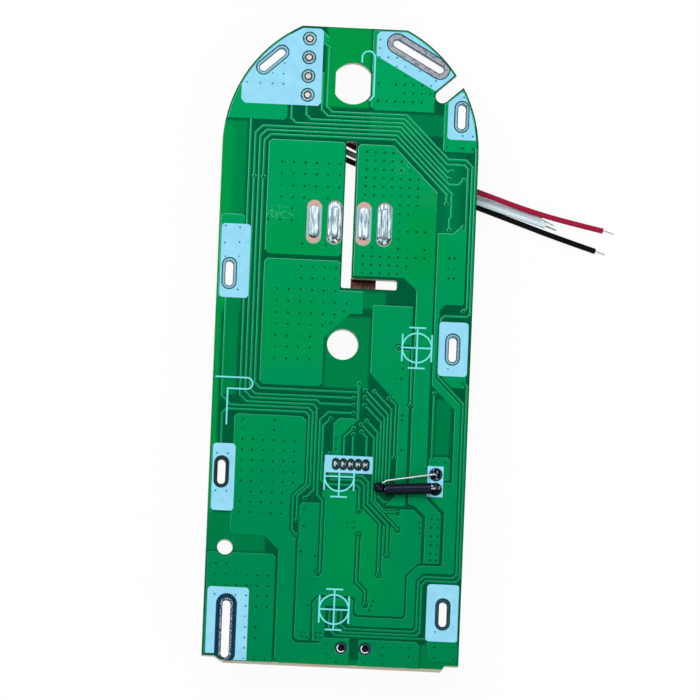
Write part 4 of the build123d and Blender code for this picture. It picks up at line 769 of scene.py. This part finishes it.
# small ones under the print by the upper right slot
viaPanel = [(8.43, 51.67), (8.38, 50.3), (8.31, 48.72), (9.62, 48.67), (11.13, 48.5), (11.07, 47.02),
            (12.51, 46.86), (13.8, 45.46), (16.58, 43.6)]


def viaTree():
    tree, identifiers, given, result = startTree(
        "vias", {"Hole": "NodeSocketFloat", "Ring": "NodeSocketFloat", "Sides": "NodeSocketInt",
                 "Rise": "NodeSocketFloat", "Hole Material": "NodeSocketMaterial",
                 "Ring Material": "NodeSocketMaterial"})
    lids = []
    for radiusName, height in (("Ring", 0.5), ("Hole", 1.0)):
        rise = addNode(tree, "Math", [given["Rise"], height], operation="MULTIPLY")
        lid = addNode(tree, "GeometryNodeMeshCylinder",
                      {"Vertices": given["Sides"], "Radius": given[radiusName], "Depth": rise},
                      fill_type="NGON")
        lids.append(addNode(tree, "GeometryNodeSetMaterial",
                            {"Geometry": lid, "Material": given[radiusName + " Material"]}))
    both = addNode(tree, "GeometryNodeJoinGeometry", [lids])
    placed = addNode(tree, "GeometryNodeInstanceOnPoints", {"Points": given["Geometry"], "Instance": both})
    placed = addNode(tree, "GeometryNodeRealizeInstances", [placed])
    feed(tree, result, [placed])
    return tree, identifiers


def viaLook(name, deep, shallow):
    # lacquer sunk into the hole: some are open and painted dark with painted shade, others nearly filled
    material, tree, sockets, coords = startMaterial(name, **lacquer)
    filled = patches(tree, coords, viaFilling["patchMm"], 1.0, viaFilling["stops"])
    color = addNode(tree, "Mix", {0: filled, 6: srgb(deep), 7: srgb(shallow)}, 2, data_type="RGBA")
    feed(tree, sockets, {"Base Color": color})
    return material


viaPoints = viaSingles + viaEnds + viaPanel
for columns, y, places in viaRows:
    start, pitch = viaColumns[columns]
    viaPoints += [(start + pitch * place, y) for place in places]


viaProbe = {"from": 50, "below": 0.1}   # mm: looked down from, and how far under the board's top still counts


def topAt(x, y):
    # what lies uppermost there: print, mask over copper or mask over fibre; nothing over an opening
    for name in ("print_panels", "solder_side_copper", "board_laminate"):
        above = Vector((x, y, viaProbe["from"])) * mm
        hit, place, normal, face = nodes[name].ray_cast(above, Vector((0, 0, -1)))
        if hit and place.z > boardTop - viaProbe["below"] * mm:
            return place.z, "printDimples" if name == "print_panels" else "vias"
    return 0, None


viaPlaces = [(x * mm, y * mm, *topAt(x, y)) for x, y in viaPoints]
viaNodes, viaIdentifiers = viaTree()
for kindName, kind in viaKinds.items():
    viaMesh = bpy.data.meshes.new(kindName)
    viaMesh.from_pydata([place[:3] for place in viaPlaces if place[3] == kindName], [], [])
    vias = newObject(kindName, viaMesh)
    print("stage 4:", kindName, len(viaMesh.vertices))
    useTree(vias, viaNodes, viaIdentifiers, {
        "Hole": kind["hole"] * mm, "Ring": kind["ring"] * mm, "Sides": kind["sides"], "Rise": kind["rise"] * mm,
        "Hole Material": viaLook(kindName + "Hole", *kind["colors"]),
        "Ring Material": viaLook(kindName + "Ring", *kind["ringColors"]),
    })
    plainMesh(vias)
    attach(vias, "root")


# the four wires of the lead: soft silicone over fine strands, cut short and stripped

wireSize = {"diameter": 0.95, "tipDiameter": 0.38, "strand": 0.125, "strands": 7, "strandSides": 6,
            "twistMm": 5.0, "narrowing": 0.35, "roughness": 0.36}
# the painted shade under the board ends over this stretch of x
wireShadeAndGrain = {"x": (12 * mm, 19 * mm), "color": "#1A1412", "share": 0.5, "grainMm": 1.2, "reliefMm": 0.02}
# each wire from its hole down under the board and out to its end, in mm
wireRoutes = {
    "wire_white_upper": [
        (-7.55, 51.65, 7.7), (-7.55, 51.65, 6.5), (-7.1, 50.6, 5.3), (-6.3, 47.9, 4.4), (-5.4, 44.0, 4.0),
        (-4.4, 40.8, 3.7), (-2.5, 37.2, 3.6), (1.8, 34.85, 3.5), (8.0, 32.45, 3.1), (15.0, 29.8, 2.6),
        (22.0, 27.15, 2.0), (26.0, 25.9, 1.5), (29.4, 24.95, 1.1), (32.75, 24.15, 0.8)],
    "wire_red": [
        (-7.55, 48.48, 7.7), (-7.55, 48.48, 6.5), (-7.1, 47.4, 5.4), (-6.2, 44.6, 5.0), (-4.9, 40.8, 4.85),
        (-2.6, 36.2, 4.8), (1.8, 33.8, 4.7), (9.0, 31.7, 4.3), (15.5, 29.85, 3.8), (21.9, 28.0, 3.3),
        (29.3, 25.7, 2.2), (36.2, 24.05, 1.25), (43.1, 22.8, 0.49)],
    "wire_white_lower": [
        (-7.55, 45.31, 7.7), (-7.55, 45.31, 6.5), (-7.2, 44.3, 5.4), (-6.55, 41.6, 4.7), (-5.5, 38.6, 4.3),
        (-3.2, 34.9, 4.2), (1.8, 32.6, 4.2), (9.0, 30.35, 4.05), (15.5, 28.3, 3.7), (22.0, 26.25, 3.15),
        (27.75, 24.6, 2.23), (33.4, 23.1, 1.4)],
    "wire_black": [
        (-7.55, 42.14, 7.7), (-7.55, 42.14, 6.5), (-7.25, 41.05, 5.4), (-6.9, 39.2, 4.9), (-5.9, 36.8, 4.75),
        (-3.6, 33.5, 4.65), (1.8, 31.35, 4.4), (9.0, 29.3, 3.6), (15.5, 27.4, 2.9), (22.0, 25.5, 2.25),
        (28.6, 23.4, 1.55), (35.4, 21.2, 0.95), (41.95, 19.3, 0.49)],
}
tipRoutes = {
    "wire_white_upper": [(32.75, 24.15, 0.8), (33.9, 23.75, 0.62), (34.9, 23.3, 0.45)],
    "wire_red": [(43.1, 22.8, 0.49), (44.1, 22.6, 0.4), (44.95, 22.35, 0.3)],
    "wire_white_lower": [(33.4, 23.1, 1.4), (34.4, 22.8, 1.2), (35.3, 22.5, 0.95)],
    "wire_black": [(41.95, 19.3, 0.49), (42.8, 19.05, 0.4), (43.6, 18.8, 0.3)],
}
# colour, slot and shine
wireColors = {"wire_white_upper": ("#D3E4EC", "wire_white", 0.3), "wire_red": ("#A10437", "wire_red", 0.2),
              "wire_white_lower": ("#D6E8F0", "wire_white", 0.3), "wire_black": ("#020203", "wire_black", 0.1)}


def splineCurve(name, points, depth, material=None, resolution=6):
    curve = bpy.data.curves.new(name, "CURVE")
    curve.dimensions = "3D"
    spline = curve.splines.new("NURBS")
    spline.points.add(len(points) - 1)
    for point, (x, y, z) in zip(spline.points, points):
        point.co = (x * mm, y * mm, z * mm, 1)
    spline.order_u = 3
    spline.use_endpoint_u = True
    spline.resolution_u = resolution
    curve.bevel_depth = depth * mm
    curve.bevel_resolution = 4
    curve.use_fill_caps = True
    return newObject(name, curve, material)


def rubberLook(name, color, shine):
    # silicone sleeve: soft sheen, faint lengthwise flow marks, darker with painted shade where it lies under
    # the board
    material, tree, sockets, coords = startMaterial(name, Roughness=wireSize["roughness"],
                                                    Specular_IOR_Level=shine)
    outOfShade = addNode(tree, "SeparateXYZ", [coords], "X")
    outOfShade = addNode(tree, "MapRange", [outOfShade, *wireShadeAndGrain["x"]], **soft)
    shadedUnderBoard = between(color, wireShadeAndGrain["color"], wireShadeAndGrain["share"])
    color = addNode(tree, "Mix", {0: outOfShade, 6: shadedUnderBoard, 7: srgb(color)}, 2, data_type="RGBA")
    grained(tree, sockets, coords, color, wireShadeAndGrain, 3.0)
    return material


def strandMesh(name, points):
    # seven twisted strands round the tip's smooth line
    line = splineCurve(name + "Line", points, 0)
    depsgraph = bpy.context.evaluated_depsgraph_get()
    track = bpy.data.meshes.new_from_object(line.evaluated_get(depsgraph))
    centres = [vert.co.copy() for vert in track.vertices]
    bpy.data.objects.remove(line)
    bm = bmesh.new()
    sides, around = wireSize["strandSides"], wireSize["strands"] - 1
    radius = wireSize["strand"] / 2 * mm
    for strand in range(wireSize["strands"]):
        rings = []
        travelled = 0.0
        for place, centre in enumerate(centres):
            ahead = centres[min(place + 1, len(centres) - 1)] - centres[max(place - 1, 0)]
            ahead.normalize()
            if place:
                travelled += (centre - centres[place - 1]).length
            sideways = ahead.cross(Vector((0, 0, 1))).normalized()
            upward = sideways.cross(ahead)
            turn = 2 * math.pi * (strand / around + travelled / (wireSize["twistMm"] * mm))
            narrowed = 1 - wireSize["narrowing"] * place / (len(centres) - 1)
            spread = (wireSize["tipDiameter"] - wireSize["strand"]) / 2 * mm * narrowed
            offset = (sideways * math.cos(turn) + upward * math.sin(turn)) * (spread if strand < around else 0)
            angles = [2 * math.pi * corner / sides for corner in range(sides)]
            rings.append([bm.verts.new(centre + offset + (sideways * math.cos(angle) + upward * math.sin(angle))
                                       * radius) for angle in angles])
        for first, second in zip(rings, rings[1:]):
            for corner in range(sides):
                after = (corner + 1) % sides
                bm.faces.new((first[corner], first[after], second[after], second[corner]))
        bm.faces.new(rings[0][::-1])
        bm.faces.new(rings[-1])
    bmesh.ops.recalc_face_normals(bm, faces=bm.faces)
    mesh = bpy.data.meshes.new(name)
    bm.to_mesh(mesh)
    bm.free()
    return mesh


for name, points in wireRoutes.items():
    color, slotName, shine = wireColors[name]
    wire = splineCurve(name + "Soft", points, wireSize["diameter"] / 2,
                       rubberLook(name + "Rubber", color, shine), 8)
    tip = newObject(name + "Tip", strandMesh(name + "Tip", tipRoutes[name]), metalMaterials["tinnedStrand"])
    for piece in (wire, tip):
        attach(piece, "root")
    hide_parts(name)
    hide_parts("wire_tips")
print("stage 5: wires laid")


# floor, lamps and camera

stageSize = {"floor": 1.2, "floorColor": "#F4F4F4", "roughness": 0.9, "whiteShare": 0.95, "roomLight": 0.38}


def floorLook():
    # matt painted board, which the camera and the metals see as nearly white
    material, tree, sockets, coords = startMaterial("paleFloor", Roughness=stageSize["roughness"],
                                                    Base_Color=srgb(stageSize["floorColor"]))
    glow = addNode(tree, "Emission", {"Color": (1, 1, 1, 1), "Strength": 1.0})
    seen = [addNode(tree, "LightPath", out=rays) for rays in ("Is Camera Ray", "Is Glossy Ray")]
    seen = addNode(tree, "Math", seen, operation="MAXIMUM")
    share = addNode(tree, "Math", [seen, stageSize["whiteShare"]], operation="MULTIPLY")
    blend = addNode(tree, "MixShader", [share, tree.nodes["Principled BSDF"].outputs[0], glow])
    feed(tree, tree.nodes["Material Output"].inputs, {"Surface": blend})
    return material


floorMesh = bpy.data.meshes.new("floor")
half = stageSize["floor"] / 2
corners = [(-half, -half, 0), (half, -half, 0), (half, half, 0), (-half, half, 0)]
floorMesh.from_pydata(corners, [], [range(4)])
floor = newObject("floor", floorMesh, floorLook())

world = bpy.data.worlds.new("paleRoom")
world.use_nodes = True
bpy.context.scene.world = world
feed(world.node_tree, world.node_tree.nodes["Background"].inputs,
     {"Color": (1, 1, 1, 1), "Strength": stageSize["roomLight"]})

lamps = {
    "overhead": {"place": (-0.18, 0.28, 0.62), "size": 0.5, "power": 3.4},
    "front": {"place": (0.3, -0.4, 0.5), "size": 0.45, "power": 1.2},
}
for lampName, lampSize in lamps.items():
    lampData = bpy.data.lights.new(lampName, "AREA")
    lampData.size = lampSize["size"]
    lampData.energy = lampSize["power"]
    lamp = newObject(lampName, lampData)
    lamp.location = lampSize["place"]
    lamp.rotation_euler = (-Vector(lampSize["place"])).to_track_quat("-Z", "Y").to_euler()

view = {
    "aim": (1.25, -0.49, 9.6),           # the point of the board's face at the middle of the picture
    "lean": (-0.04, -0.14, 1.0),         # from that point towards the camera
    "pictureUp": (-0.04, 0.9992, 0),     # the board lies turned by 2.3 degrees in the picture
    "pictureWidth": 116.7,
    "distance": 4000.0,
    "sensor": 36.0,
    "clip": (0.05, 20),
}
cameraData = bpy.data.cameras.new("camera")
cameraData.sensor_width = view["sensor"]
cameraData.lens = view["sensor"] * view["distance"] / view["pictureWidth"]
cameraData.clip_start, cameraData.clip_end = view["clip"]
camera = newObject("camera", cameraData)
back = Vector(view["lean"]).normalized()
across = Vector(view["pictureUp"]).cross(back).normalized()
turned = Matrix((across, back.cross(across), back)).transposed()
camera.matrix_world = Matrix.Translation((Vector(view["aim"]) + back * view["distance"]) * mm) @ turned.to_4x4()
bpy.context.scene.camera = camera
bpy.context.scene.view_settings.view_transform = "Standard"
print("stage 6: floor, lamps and camera set")
